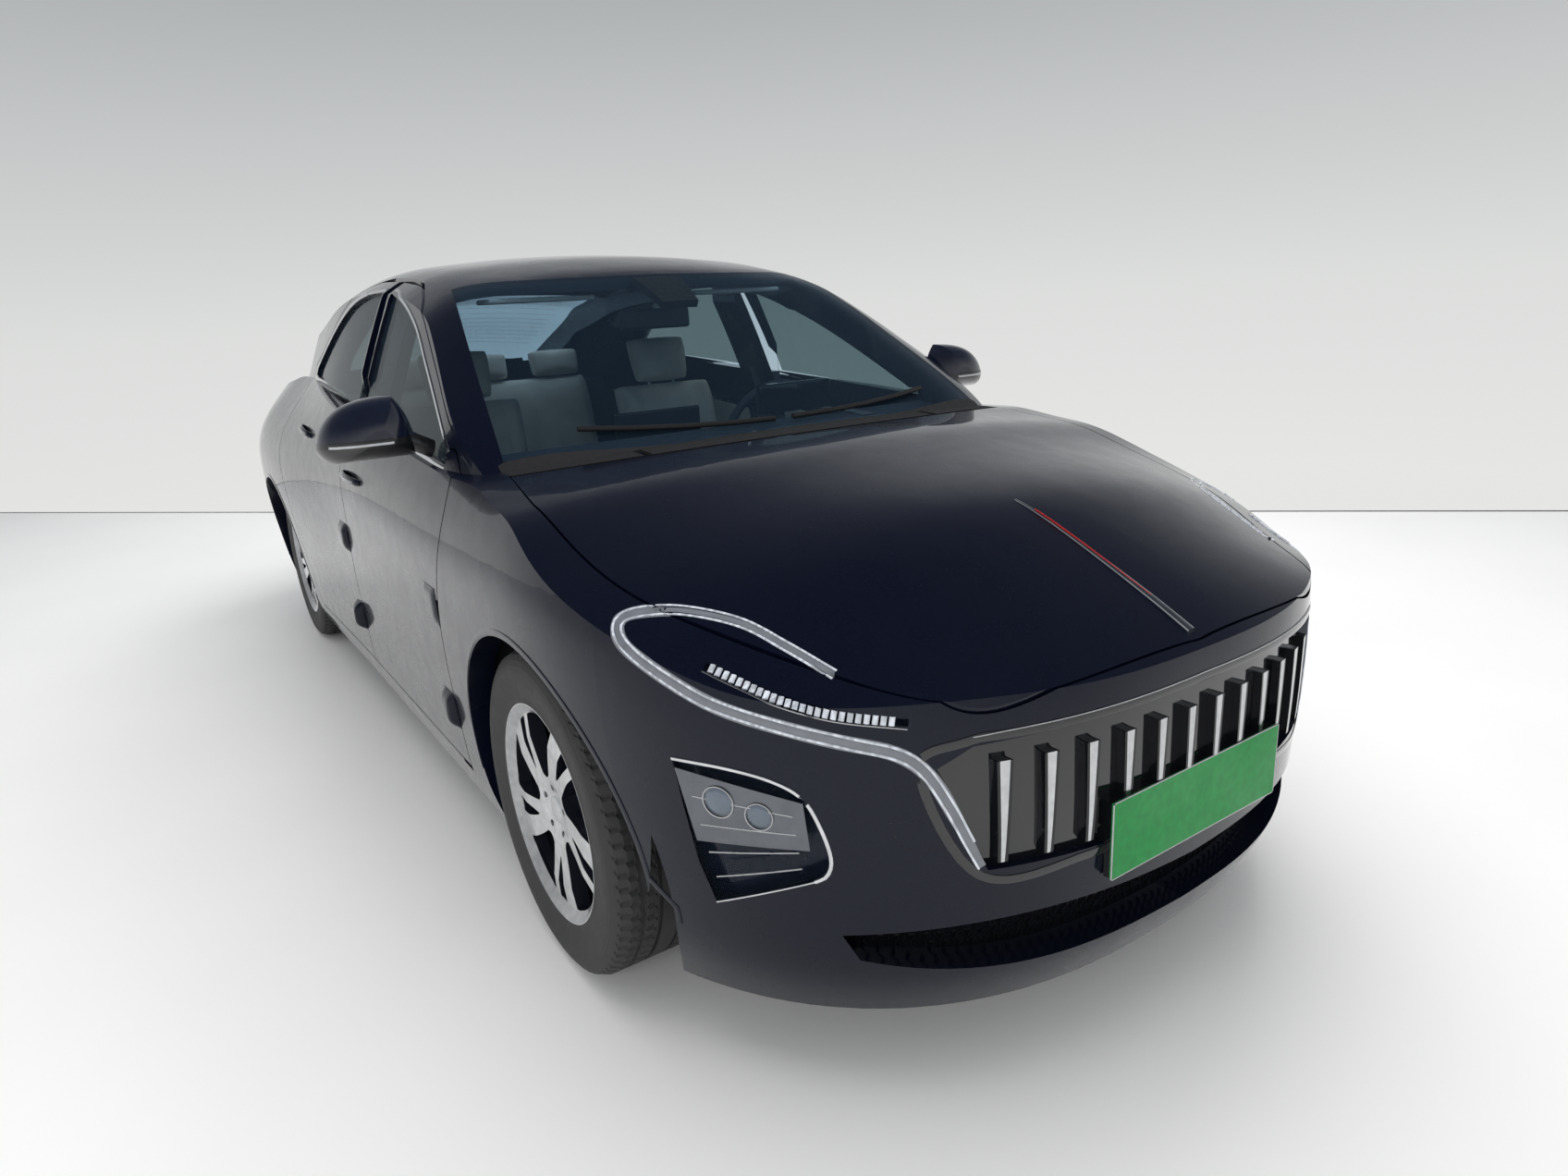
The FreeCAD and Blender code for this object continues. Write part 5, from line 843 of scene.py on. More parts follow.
def tread_depth(radius, turn, across):
    """How far the tread is cut at a place: ring grooves, and slanted cuts towards the shoulders."""
    if radius <= TREAD_FROM or abs(across) >= TREAD_HALF:
        return 0.0
    if any(abs(across - groove) < GROOVE_HALF for groove in GROOVES):
        return GROOVE_DEPTH
    slanted = (turn * CUT_COUNT / (2 * math.pi) + across / CUT_RUN * CUT_LEAN) % 1.0 < CUT_SHARE
    return GROOVE_DEPTH * CUT_DEPTH if slanted and abs(across) > CUT_FROM else 0.0


def make_wheel(corner, axle):
    """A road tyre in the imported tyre's own form with its tread cut into it, a cap and bolts."""
    node_name, body = "tyre_" + corner, "wheel_" + corner
    low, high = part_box(node_name)
    centre = at(axle, (low[1] + high[1]) / 2, TYRE_RADIUS)
    fine = finer_rows(tyre_rows(node_name, centre, (high[1] - low[1]) / 2))
    inner = [(BEAD_RADIUS - BEAD_DEPTH, across) for _, across in (fine[-1], fine[0])]
    rings = []
    for number in range(TYRE_SEGMENTS):
        turn = 2 * math.pi * number / TYRE_SEGMENTS
        ring = [(radius - tread_depth(radius, turn, across), across) for radius, across in fine] + inner
        rings.append([centre + at(radius * math.cos(turn), across, radius * math.sin(turn))
                      for radius, across in ring])
    tyre = new_object("road_tyre_" + corner, from_data(*tube_part(rings, True), False), "tyre")
    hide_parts(node_name)
    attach(tyre, body)
    side = math.copysign(1.0, centre.y)
    out = at(0, side, 0)
    cap = turned_part(CAP, at(axle, centre.y + side * CAP_PLACE, TYRE_RADIUS), out, CAP_SIDES)
    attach(new_object("wheel_cap_" + corner, gathered([cap], True), "silver_cap"), body)
    bolts = []
    for number in range(BOLT_COUNT):
        turn = 2 * math.pi * (number + BOLT_TURN) / BOLT_COUNT
        place = at(BOLT_CIRCLE * math.cos(turn), side * BOLT_PLACE, BOLT_CIRCLE * math.sin(turn))
        bolts.append(turned_part(BOLT, centre + place, out, BOLT_SIDES))
    piece("wheel_bolts_" + corner, bolts, "cast_steel", body, smooth=False)


# Lamps, in shares of length, half width and height

DAY_LAMP = [
    (1.725, 0.639, 0.502), (1.633, 0.670, 0.522), (1.538, 0.705, 0.540), (1.442, 0.768, 0.549),
    (1.390, 0.828, 0.548), (1.386, 0.865, 0.543), (1.411, 0.880, 0.531), (1.461, 0.875, 0.516),
    (1.540, 0.850, 0.497), (1.615, 0.812, 0.478), (1.717, 0.742, 0.461), (1.799, 0.664, 0.446),
    (1.846, 0.604, 0.433), (1.870, 0.569, 0.413), (1.890, 0.534, 0.372), (1.904, 0.507, 0.333),
    (1.914, 0.482, 0.300)]
LAMP_STRIP = [
    (1.575, 0.800, 0.512), (1.631, 0.765, 0.497), (1.700, 0.733, 0.485), (1.780, 0.680, 0.476),
    (1.855, 0.590, 0.467)]
CORNER_LAMP = [
    (1.532, 0.857, 0.410), (1.631, 0.805, 0.410), (1.698, 0.759, 0.402), (1.738, 0.725, 0.385),
    (1.758, 0.705, 0.353), (1.767, 0.692, 0.317), (1.762, 0.697, 0.297), (1.745, 0.712, 0.288),
    (1.580, 0.817, 0.241), (1.558, 0.835, 0.290), (1.545, 0.849, 0.356)]
TOW_COVER = [(1.833, 0.621, 0.359), (1.871, 0.567, 0.357), (1.883, 0.544, 0.330), (1.849, 0.597, 0.330)]
GRILLE_EDGE = [
    (1.95, 0.0, 0.442), (1.952, 0.391, 0.439), (1.898, 0.500, 0.436), (1.872, 0.566, 0.411),
    (1.917, 0.473, 0.294), (1.979, 0.268, 0.291), (1.98, 0.0, 0.290)]
NOSE_SKIN = ("front_bumper", "front_wings", "bonnet", "day_lamps", "headlamps")
# Width, depth and step of the strips
GUIDE, LAMP_FACE = (0.0045, 0.0022, 0.010), (0.0115, 0.0008, 0.010)
RIB, STRIP_EDGE = (0.0095, 0.0034, 0.007), (0.003, 0.0018, 0.010)
CORNER_RIM, CORNER_FOOT = (0.0070, 0.0026, 0.010), (0.0035, 0.0020, 0.010)
FIN, TOW_LINE = (0.0035, 0.0015, 0.010), (0.0018, 0.0006, 0.006)
GUIDE_GAP, EDGE_GAP, RIB_HALF, RIB_STEP = 0.0085, 0.0105, 0.0070, 0.0125
FIN_SHARES, FIN_ENDS = (0.24, 0.44, 0.64, 0.82), (0.08, 0.90)
# Lenses: share along, share down, radius; profiles as shares of the radius and heights
LENSES = ((0.30, 0.24, 0.026), (0.62, 0.30, 0.022))
DOME = ((0.0, 0.0035), (0.35, 0.0031), (0.7, 0.0018), (0.9, 0.0006), (1.0, -0.0010))
COLLAR = ((1.02, -0.0010), (1.04, 0.0024), (1.12, 0.0026), (1.16, -0.0010))
LENS_SIDES = 40
BOWL_DOWN, BOWL_POINTS, BOWL_THICK, BOWL_ROWS = ((0.06, 0.06), (0.56, 0.62)), 24, 0.0004, 8


def beside(points, gap):
    """A line shifted to one side in the lamps' plane."""
    lean = -FROM_LAMP_SIDE.normalized()
    return [point + (ahead - behind).normalized().cross(lean) * gap for point, ahead, behind in
            zip(points, points[1:] + points[-1:], points[:1] + points[:-1])]


def lamp_strip(points, size):
    """A strip on both lamps, laid along the lamps' own direction."""
    width, depth, step = size
    return both_sides(line_on(NOSE_SKIN, resampled(points, step), FROM_LAMP_SIDE, width, depth))


def make_lamps():
    """Bright edges of the day lamps, ribs of the strip lamps, trim and lens of the corner lamps."""
    band = smoothed(shares(DAY_LAMP))
    guides = [part for gap in (-GUIDE_GAP, GUIDE_GAP) for part in lamp_strip(beside(band, gap), GUIDE)]
    piece("day_lamp_guides", guides, "guide")
    piece("day_lamp_face", lamp_strip(band, LAMP_FACE), "day_lamp")
    whole = smoothed(shares(LAMP_STRIP))
    line, ribs = resampled(whole, RIB_STEP), []
    for number in range(1, len(line) - 2):
        run = (line[number + 1] - line[number]).normalized()
        across = run.cross(-FROM_LAMP_SIDE.normalized()) * RIB_HALF
        ribs += lamp_strip([line[number] + across, line[number] - across], RIB)
    piece("lamp_ribs", ribs, "guide")
    piece("lamp_strip_edge", lamp_strip(beside(whole, EDGE_GAP), STRIP_EDGE), "satin")
    corner = shares(CORNER_LAMP)
    top_rear, top_front, foot_front, foot_rear = corner[0], corner[3], corner[7], corner[8]
    rim = lamp_strip(smoothed(corner[:8]), CORNER_RIM) + lamp_strip(corner[7:9], CORNER_FOOT)
    piece("corner_lamp_trim", rim, "chrome")
    fins = []
    for share in FIN_SHARES:
        start, stop = top_rear.lerp(foot_rear, share), top_front.lerp(foot_front, share)
        fins += lamp_strip([start.lerp(stop, end) for end in FIN_ENDS], FIN)
    piece("corner_lamp_fins", fins, "satin")
    lenses, collars = [], []
    for share, down, radius in LENSES:
        aimed = top_rear.lerp(top_front, share).lerp(foot_rear.lerp(foot_front, share), down)
        place, out = landed(NOSE_SKIN, aimed, FROM_LAMP_SIDE)
        for parts, profile in ((lenses, DOME), (collars, COLLAR)):
            rows = [(radius * wide, height) for wide, height in profile]
            parts += both_sides([turned_part(rows, place, out, LENS_SIDES)])
    piece("corner_lamp_lenses", lenses, "lens")
    piece("corner_lamp_collars", collars, "satin")
    upper, lower = (line_between(top_rear.lerp(foot_rear, rear), top_front.lerp(foot_front, front),
                                 BOWL_POINTS) for rear, front in BOWL_DOWN)
    bowl = patch(("headlamps",), upper, lower, FROM_LAMP_SIDE, BOWL_THICK, BOWL_ROWS)
    piece("corner_lamp_bowl", both_sides([bowl]), "reflector")
    cover = loop_on(NOSE_SKIN, shares(TOW_COVER), FROM_AHEAD, *TOW_LINE)
    piece("tow_cover_line", both_sides(cover), "black_matte")


# Grille, bonnet spear and plate

BAND, TOP_LINE, TOP_LINE_STEP = (0.016, 0.0020, 0.010), (0.003, 0.0026), 0.010
BAND_WIDER, BAND_TALLER, BAND_MIDDLE, TOP_LINE_RISE = 1.022, 0.08, 0.575, 0.016
HEX_SIZE, HEX_WALL, HEX_DEEP = 0.0125, 0.0022, 0.004
INTAKE_FOOT, INTAKE_TALL, INTAKE_HALF, INTAKE_FROM, SAME_PLACE = 0.232, 0.17, 0.67, 2.10, 0.0005
AHEAD_OF_CAR = 2.5
# Bonnet spear: its ends, then width and depth as a start and a growth; the inlay's span, lift and size
SPEAR_REAR, SPEAR_FRONT, SPEAR_POINTS = (2.073, 0, 0.9), (2.480, 0, 0.9), 25
SPEAR_WIDTH, SPEAR_DEPTH = (0.005, 0.013), (0.0035, 0.0040)
INLAY, INLAY_LIFT, INLAY_SIZE = slice(3, -5), 0.0042, (0.0022, 0.0022)
PLATE_STEP, PLATE_BACK, PLATE_EDGE = 0.02, 0.0016, (0.006, 0.0014)


def intake_struts(seat):
    """Three walls of a six-sided cell of the intake's mesh."""
    corners = []
    for corner in range(4):
        angle = math.pi / 6 + corner * math.pi / 3
        corners.append(seat + at(0, HEX_SIZE * math.cos(angle), HEX_SIZE * math.sin(angle)))
    deep, parts = at(HEX_DEEP, 0, 0), []
    for first, second in zip(corners, corners[1:]):
        side = (second - first).normalized().cross(FROM_BEHIND) * HEX_WALL / 2
        parts.append(tube_part([[end + side, end - side, end - side + deep, end + side + deep]
                                for end in (first, second)]))
    return parts


def make_grille():
    """Gloss band and bright line round the grille, honeycomb in the lower intake."""
    half = shares(GRILLE_EDGE)
    outline = half + [at(p.x, -p.y, p.z) for p in reversed(half)][1:-1]
    outline = [at(p.x, p.y * BAND_WIDER, p.z + (p.z - BAND_MIDDLE) * BAND_TALLER) for p in outline]
    piece("grille_band", loop_on(("front_bumper",), outline, FROM_AHEAD, *BAND), "black_gloss")
    top = resampled(smoothed([at(p.x, p.y, p.z + TOP_LINE_RISE) for p in half[:3]]), TOP_LINE_STEP)
    piece("grille_top_line", both_sides(line_on(("front_bumper",), top, FROM_AHEAD, *TOP_LINE)), "satin")
    struts, rise, wide = [], HEX_SIZE * 1.5, HEX_SIZE * math.sqrt(3)
    for row in range(int(INTAKE_TALL / rise) + 1):
        for number in range(int(2 * INTAKE_HALF / wide)):
            y = -INTAKE_HALF + (number + (row % 2) / 2) * wide
            start = at(AHEAD_OF_CAR, y, INTAKE_FOOT + row * rise)
            place, _ = landed(("grille", "front_bumper"), start, FROM_AHEAD)
            seat, _ = landed(("grille",), start, FROM_AHEAD)
            if place and seat and (place - seat).length <= SAME_PLACE and seat.x >= INTAKE_FROM:
                struts += intake_struts(seat)
    piece("intake_mesh", struts, "black_gloss", smooth=False)


def make_front_trim():
    """Bonnet spear with its inlay, and the plate's frame."""
    line = line_between(SPEAR_REAR, SPEAR_FRONT, SPEAR_POINTS)
    spear = swept(laid(("bonnet",), line, FROM_ABOVE, SINK), lambda share: slab_outline(
        *(start + more * share for start, more in (SPEAR_WIDTH, SPEAR_DEPTH))))
    piece("bonnet_spear", [spear], "chrome", "bonnet")
    inlay = line_on(("bonnet",), line[INLAY], FROM_ABOVE, *INLAY_SIZE, INLAY_LIFT)
    piece("bonnet_spear_inlay", inlay, "red_line", "bonnet")
    low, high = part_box("number_plate")
    x, half, base, top = high[0] - PLATE_BACK, high[1], low[2], high[2]
    corners = [at(x, y, z) for y, z in ((-half, base), (half, base), (half, top), (-half, top))]
    edge = []
    for first, second in zip(corners, corners[1:] + corners[:1]):
        edge += strip([(p, FROM_BEHIND) for p in resampled([first, second], PLATE_STEP)], *PLATE_EDGE)
    piece("plate_frame", edge, "satin")


ARCH_SKINS = (("front_wings", "front_bumper"), ("side_frame_right", "rear_bumper"))
ARCH_START, ARCH_TURN, ARCH_STEPS, ARCH_TRIES, ARCH_Y = -6, 192, 96, 60, -0.9
ARCH_GAP, ARCH_STEP, ARCH_INSET = 0.002, 0.002, 0.0075
ARCH_OUTER, ARCH_INNER = -0.80, -0.78
LIP = (0.013, 0.0022)


def arch_edge(names, axle, angle):
    """A place just outside the arch's edge at one angle, and the way out; none where there is no edge."""
    ray = at(math.cos(angle), 0, math.sin(angle))
    for step in range(ARCH_TRIES):
        want = at(axle, ARCH_Y, TYRE_RADIUS) + ray * (TYRE_RADIUS + ARCH_GAP + step * ARCH_STEP)
        place, _ = landed(names, want, FROM_RIGHT)
        if place is not None and place.y < ARCH_OUTER:
            place, out = landed(names, want + ray * ARCH_INSET, FROM_RIGHT)
            return (place + out * SINK, out) if place is not None and place.y < ARCH_INNER else None
    return None


def make_arch_lips():
    """The rolled edges of the four wheel arches."""
    lips = []
    for axle, names in zip((FRONT_AXLE, REAR_AXLE), ARCH_SKINS):
        found = [arch_edge(names, axle, math.radians(ARCH_START + ARCH_TURN * number / ARCH_STEPS))
                 for number in range(ARCH_STEPS + 1)]
        lips += both_sides(strip([pair for pair in found if pair], *LIP))
    piece("arch_lips", lips, "body_paint")


# Sides

DOORS = ("front", "rear")
FLANK = -0.8
WINDOW_TOP = [
    (0.100, 0.758), (0.234, 0.883), (0.327, 0.934), (0.475, 0.942), (0.552, 0.918), (0.635, 0.868),
    (0.702, 0.804), (0.769, 0.733), (0.843, 0.648)]
WINDOW_BELT = [(0.100, 0.751), (0.256, 0.728), (0.413, 0.706), (0.843, 0.644)]
# Rows of length and height, how far the line is moved up, its width; then what they share
WINDOW_LINES = ((WINDOW_TOP, -0.014, 0.011), (WINDOW_BELT, -0.002, 0.014))
WINDOW_DEPTH, WINDOW_STEP, WINDOW_MARGIN = 0.0030, 0.012, 0.012
DOOR_SKIN_FROM, DOOR_SKIN_TURN, DOOR_SKIN_LEAST, EDGE_TRIES = -0.5, -0.3, -0.45, 80
# Pillar covers: where the search for the door's edge starts, its step, and the edge of the glass
PILLARS = {"front": (0.060, -0.004, 0), "rear": (-0.030, 0.004, 1)}
PILLAR_FOOT, PILLAR_HEAD, PILLAR_POINTS, PILLAR_EDGE = 0.075, 0.012, 25, 0.6
PILLAR_THICK, PILLAR_ROWS = 0.0012, 4


def door_edge(name, z, x, step):
    """How far a door's skin reaches along the car at one height."""
    for _ in range(EDGE_TRIES):
        place, _ = landed((name,), at(x + step, FLANK, z), FROM_RIGHT)
        if place is None or place.y > DOOR_SKIN_LEAST:
            break
        x += step
    return x


def make_window_trim():
    """Chrome lines round the side windows, and covers on the doors' pillars."""
    for door in DOORS:
        low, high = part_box(door + "_door_glass_right")
        chrome = []
        for rows, rise, width in WINDOW_LINES:
            line = smoothed([at(station(x), FLANK, z * HEIGHT + rise) for x, z in rows])
            kept = [p for p in resampled(line, WINDOW_STEP)
                    if low[0] - WINDOW_MARGIN < p.x < high[0] + WINDOW_MARGIN]
            path = [(p, out) for p, out in laid((door + "_door_right",), kept, FROM_RIGHT, SINK)
                    if p.y < DOOR_SKIN_FROM and out.y < DOOR_SKIN_TURN]
            chrome += strip(path, width, WINDOW_DEPTH)
        on_doors(door, [("window_line_" + door, chrome, "chrome")])
    for door, (start, step, end) in PILLARS.items():
        name, pane = door + "_door_right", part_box(door + "_door_glass_right")
        foot, head = pane[0][2] + PILLAR_FOOT, pane[1][2] - PILLAR_HEAD
        outer, inner = [], []
        for number in range(PILLAR_POINTS):
            z = foot + (head - foot) * number / (PILLAR_POINTS - 1)
            outer.append(at(door_edge(name, z, start, step) - step * PILLAR_EDGE, FLANK, z))
            inner.append(at(pane[end][0] - step, FLANK, z))
        cover = patch((name,), outer, inner, FROM_RIGHT, PILLAR_THICK, PILLAR_ROWS)
        on_doors(door, [("pillar_cover_" + door, [cover], "black_gloss")])


# Handles: front and rear ends; the bar's lift, width and depth; the cup's points and heights
HANDLES = {"front": ((0.345, FLANK, 0.912), (0.130, FLANK, 0.922)),
           "rear": ((-0.480, FLANK, 0.988), (-0.700, FLANK, 1.006))}
HANDLE_POINTS, HANDLE_LIFT, HANDLE_ARC, HANDLE_FOOT = 21, 0.020, 0.45, 0.003
BAR_WIDE, BAR_SLIMMER, BAR_DEEP = 0.024, 0.006, 0.013
CUP, CUP_ABOVE, CUP_BELOW, CUP_SHIFT, CUP_SPAN, CUP_ARC = slice(4, 17), 0.020, 0.026, 0.6, 13.2, 0.5
CUP_THICK, CUP_ROWS, CUP_SINK = 0.0010, 6, -0.0002
HANDLE_LINE, HANDLE_LINE_LIFT = (0.0035, 0.0012), 0.0066


def make_handles():
    """Pull handles over flat dark patches on the four doors: painted shade of the handle recesses."""
    for door, ends in HANDLES.items():
        name, last = (door + "_door_right",), HANDLE_POINTS - 1
        path = laid(name, line_between(*ends, HANDLE_POINTS), FROM_RIGHT)
        if len(path) < HANDLE_POINTS:
            continue
        lifts = [HANDLE_LIFT * math.sin(math.pi * n / last) ** HANDLE_ARC - HANDLE_FOOT
                 for n in range(HANDLE_POINTS)]
        raised = [(point + out * lift, out) for lift, (point, out) in zip(lifts, path)]
        bar = swept(raised, lambda share: round_outline(
            BAR_WIDE - BAR_SLIMMER * abs(2 * share - 1) ** 3, BAR_DEEP))
        arcs = [(p, math.sin(math.pi * (n + CUP_SHIFT) / CUP_SPAN) ** CUP_ARC)
                for n, (p, _) in enumerate(path[CUP])]
        # The cup is a flat black patch on the door skin with no hollow; its dark colour is painted shade of
        # the handle recess.
        cup = patch(name, [p + at(0, 0, CUP_ABOVE * arc) for p, arc in arcs],
                    [p - at(0, 0, CUP_BELOW * arc) for p, arc in arcs], FROM_RIGHT,
                    CUP_THICK, CUP_ROWS, CUP_SINK)
        slim = strip([(p + out * HANDLE_LINE_LIFT, out) for p, out in raised[2:-2]], *HANDLE_LINE)
        on_doors(door, [("handle_" + door, [bar], "body_paint"),
                        ("handle_cup_" + door, [cup], "black_gloss"),
                        ("handle_line_" + door, slim, "chrome")])


# Door mirrors: the glass as half sizes and rings of growth and depth, then the strip and the seam
MIRROR_GLASS, MIRROR_CENTRE = (0.088, 0.056), (0.0085, 0.115, 0.002)
MIRROR_RINGS = ((1.0, 0.0), (1.0, -0.0025), (0.93, -0.0034), (0.5, -0.0042), (0.02, -0.0044))
MIRROR_SIDES, MIRROR_CORNER = 48, 0.75
SIGNAL_BEHIND, SIGNAL_START, SIGNAL_LONG, SIGNAL_DOWN, SIGNAL_POINTS = 0.02, 0.020, 0.140, 0.010, 21
SIGNAL, SEAM = (0.006, 0.0016), (0.0025, 0.0012)


def make_mirrors():
    """Mirror glass, signal strip and dark seam of the two door mirrors."""
    low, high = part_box("mirror_right")
    ahead, across, up = MIRROR_CENTRE
    centre = at(low[0] + ahead, low[1] + across, (low[2] + high[2]) / 2 + up)
    ring = []
    for number in range(MIRROR_SIDES):
        angle = 2 * math.pi * number / MIRROR_SIDES
        ring.append([half * math.copysign(abs(value) ** MIRROR_CORNER, value)
                     for half, value in zip(MIRROR_GLASS, (math.cos(angle), math.sin(angle)))])
    pane = tube_part([[centre + at(back, y * grow, z * grow) for y, z in ring]
                      for grow, back in MIRROR_RINGS])
    on_doors("front", [("mirror_glass", [pane], "mirror_glass")])
    x, y = high[0] - SIGNAL_BEHIND, low[1] + SIGNAL_START
    rows = ((MIRROR_SPLIT - SIGNAL_DOWN, SIGNAL), (MIRROR_SPLIT, SEAM))
    signal, seam = (
        line_on(("mirror_right",), line_between((x, y, z), (x, y + SIGNAL_LONG, z), SIGNAL_POINTS),
                FROM_AHEAD, *size) for z, size in rows)
    on_doors("front", [("mirror_signal", signal, "silver_cap", "mirror_shell"),
                       ("mirror_seam", seam, "black_matte")])


# Hinge covers: heights as shares of the car's; per door the place along and how far the eye reaches out
HINGE_HEIGHTS = (0.255, 0.433)
HINGE_TALL, HINGE_MARGIN = 0.036, 0.030
HINGES = {"front": (0.811, 0.9243), "rear": (0.458, 0.9291)}
COVER_LONG, COVER_GAP, COVER_LEAST, COVER_STEPS = 0.040, 0.001, 0.003, 12
COVER_FROM, COVER_SEARCH, COVER_POWERS, COVER_FEWEST = 0.03, 0.002, (6, 4), 4
COVER_FACE, COVER_BACK = at(0, -0.0010, 0), at(0, 0.0008, 0)


def make_hinge_covers():
    """Painted covers over the hinge notches, raised a little so that they clear the hinge eyes."""
    long_power, tall_power = COVER_POWERS
    for door, (share, reach) in HINGES.items():
        name, x = door + "_door_right", station(share)
        for number, height in enumerate(HINGE_HEIGHTS):
            ends = height * HEIGHT - HINGE_MARGIN, height * HEIGHT + HINGE_TALL + HINGE_MARGIN
            front = min(door_edge(name, z, x - COVER_FROM, COVER_SEARCH) for z in ends) - COVER_GAP
            rear = x - COVER_LONG
            base = []
            for column in range(COVER_STEPS + 1):
                along, u = rear + (front - rear) * column / COVER_STEPS, 2 * column / COVER_STEPS - 1
                first, last = (landed((name,), at(along, FLANK, z), FROM_RIGHT)[0] for z in ends)
                if first is None or last is None:
                    continue
                line = []
                for row in range(COVER_STEPS + 1):
                    point, v = first.lerp(last, row / COVER_STEPS), 2 * row / COVER_STEPS - 1
                    bulge = max(COVER_LEAST, reach + point.y)
                    bulge *= (1 - abs(u) ** long_power) * (1 - abs(v) ** tall_power)
                    line.append(point - at(0, bulge, 0))
                base.append(line)
            if len(base) < COVER_FEWEST:
                continue
            cover = plate_part([[p + COVER_FACE for p in line] for line in base],
                               [[p + COVER_BACK for p in line] for line in base])
            on_doors(door, [("hinge_cover_" + door, [cover], "body_paint")], "_%d" % number)


# Seats: pads as width, length, thickness, bolster, waist, then the simulation's voxel and cap
CUSHION = (0.475, 0.490, 0.125, 0.028, 0.0, 0.011, 0.012)
BACK = (0.455, 0.600, 0.105, 0.034, 0.14, 0.011, 0.012)
REST = (0.255, 0.170, 0.085, 0.004, 0.10, 0.009, 0.008)
BENCH = (1.080, 0.480, 0.125, 0.010, 0.0, 0.014, 0.010)
BENCH_BACK = (1.060, 0.600, 0.110, 0.012, 0.06, 0.014, 0.010)
BENCH_REST = (0.250, 0.120, 0.075, 0.0, 0.06, 0.010, 0.006)
PAD_COLUMNS, PAD_ROWS, SEAM_SHARE = 21, 25, 0.16
# The pad's crown as powers across, along and of the whole; the bolster's start and run; how its sides draw in
CROWN_ACROSS, CROWN_ALONG, CROWN_POWER, BOLSTER_FROM, BOLSTER_RUN = 5, 6, 0.45, 0.58, 0.22
DRAWN_ACROSS, DRAWN_ALONG, DRAWN_POWER = 0.03, 0.02, 4
CLOTH_FRAMES, CLOTH_PRESSURE, CLOTH_QUALITY = 20, 4.0, 4
SEAT_FILL, REST_FILL = 0.7, 0.8
PIPING, PIPING_STEP, PIPING_SINK, PIPING_REACH, PIPING_SIDES, PIPING_LEAST = 0.0022, 0.012, 0.3, 0.25, 8, 3
# Front seats: places and leans of the pads, seams beside the seat's middle, base blocks and posts
SEAT_Y = {"right": -0.410, "left": 0.410}
SEAT_PADS = (("front_cushion_", 0.145, 0.440, -5, SEAT_FILL), ("front_back_", -0.150, 0.795, 72, SEAT_FILL),
             ("front_headrest_", -0.247, 1.165, 76, REST_FILL))
SEAT_SEAMS = [((-0.06, y, 0.52), (0.36, y, 0.55)) for y in (-0.135, 0.135)]
SEAT_SEAMS += [((x, -0.135, 0.55), (x, 0.135, 0.55)) for x in (0.02, 0.17)]
BACK_SEAMS = [((0.0, y, 0.56), (-0.10, y, 1.05)) for y in (-0.125, 0.125)]
BACK_SEAMS += [((0.0, -0.125, z), (0.0, 0.125, z)) for z in (0.66, 0.80, 0.94)]
SEAT_BASE = (((-0.08, -0.19, 0.335), (0.36, 0.19, 0.385), 0.012),
             ((-0.15, -0.215, 0.322), (0.38, -0.170, 0.345), 0.004),
             ((-0.15, 0.170, 0.322), (0.38, 0.215, 0.345), 0.004))
POSTS = [((-0.225, y, 1.02), (-0.243, y, 1.12)) for y in (-0.055, 0.055)]
POST_WIDTH = 0.011
# Rear bench: places and leans, headrests by name, and seams
BENCH_PLACE, BENCH_LEAN, BENCH_BACK_PLACE, BENCH_BACK_LEAN = (-0.865, 0, 0.470), -6, (-1.165, 0, 0.800), 70
BENCH_RESTS, BENCH_REST_X, BENCH_REST_Z = {"right": -0.36, "middle": 0.0, "left": 0.36}, -1.262, 1.140
BENCH_REST_LEAN = 74
BENCH_SEAMS = [((-1.05, y, 0.6), (-0.66, y, 0.6)) for y in (-0.50, -0.20, 0.20, 0.50)]
BENCH_BACK_SEAMS = [((-0.9, y, 0.58), (-0.9, y, 1.05)) for y in (-0.48, -0.20, 0.20, 0.48)]


def grid_pad(width, length, thick, bolster, waist):
    """A closed pad in its own frame: x across, y along, z out; thin at its seams, raised along its sides."""
    points = []
    for face in (1, -1):
        for row in range(PAD_ROWS):
            v = 2 * row / (PAD_ROWS - 1) - 1
            for column in range(PAD_COLUMNS):
                u = 2 * column / (PAD_COLUMNS - 1) - 1
                crown = max(0.0, (1 - abs(u) ** CROWN_ACROSS) * (1 - abs(v) ** CROWN_ALONG)) ** CROWN_POWER
                lift = thick / 2 * (SEAM_SHARE + (1 - SEAM_SHARE) * crown)
                if face > 0:
                    lift += bolster * max(0.0, min(1.0, (abs(u) - BOLSTER_FROM) / BOLSTER_RUN)) * crown
                slim = 1 - waist * (v + 1) / 2 - DRAWN_ACROSS * abs(v) ** DRAWN_POWER
                short = 1 - DRAWN_ALONG * abs(u) ** DRAWN_POWER
                points.append(at(u * width / 2 * slim, v * length / 2 * short, face * lift))
    return points, sheet_faces(PAD_ROWS, PAD_COLUMNS)


def evaluated(body):
    """The mesh of an object with its modifiers carried out."""
    return bpy.data.meshes.new_from_object(body.evaluated_get(bpy.context.evaluated_depsgraph_get()))


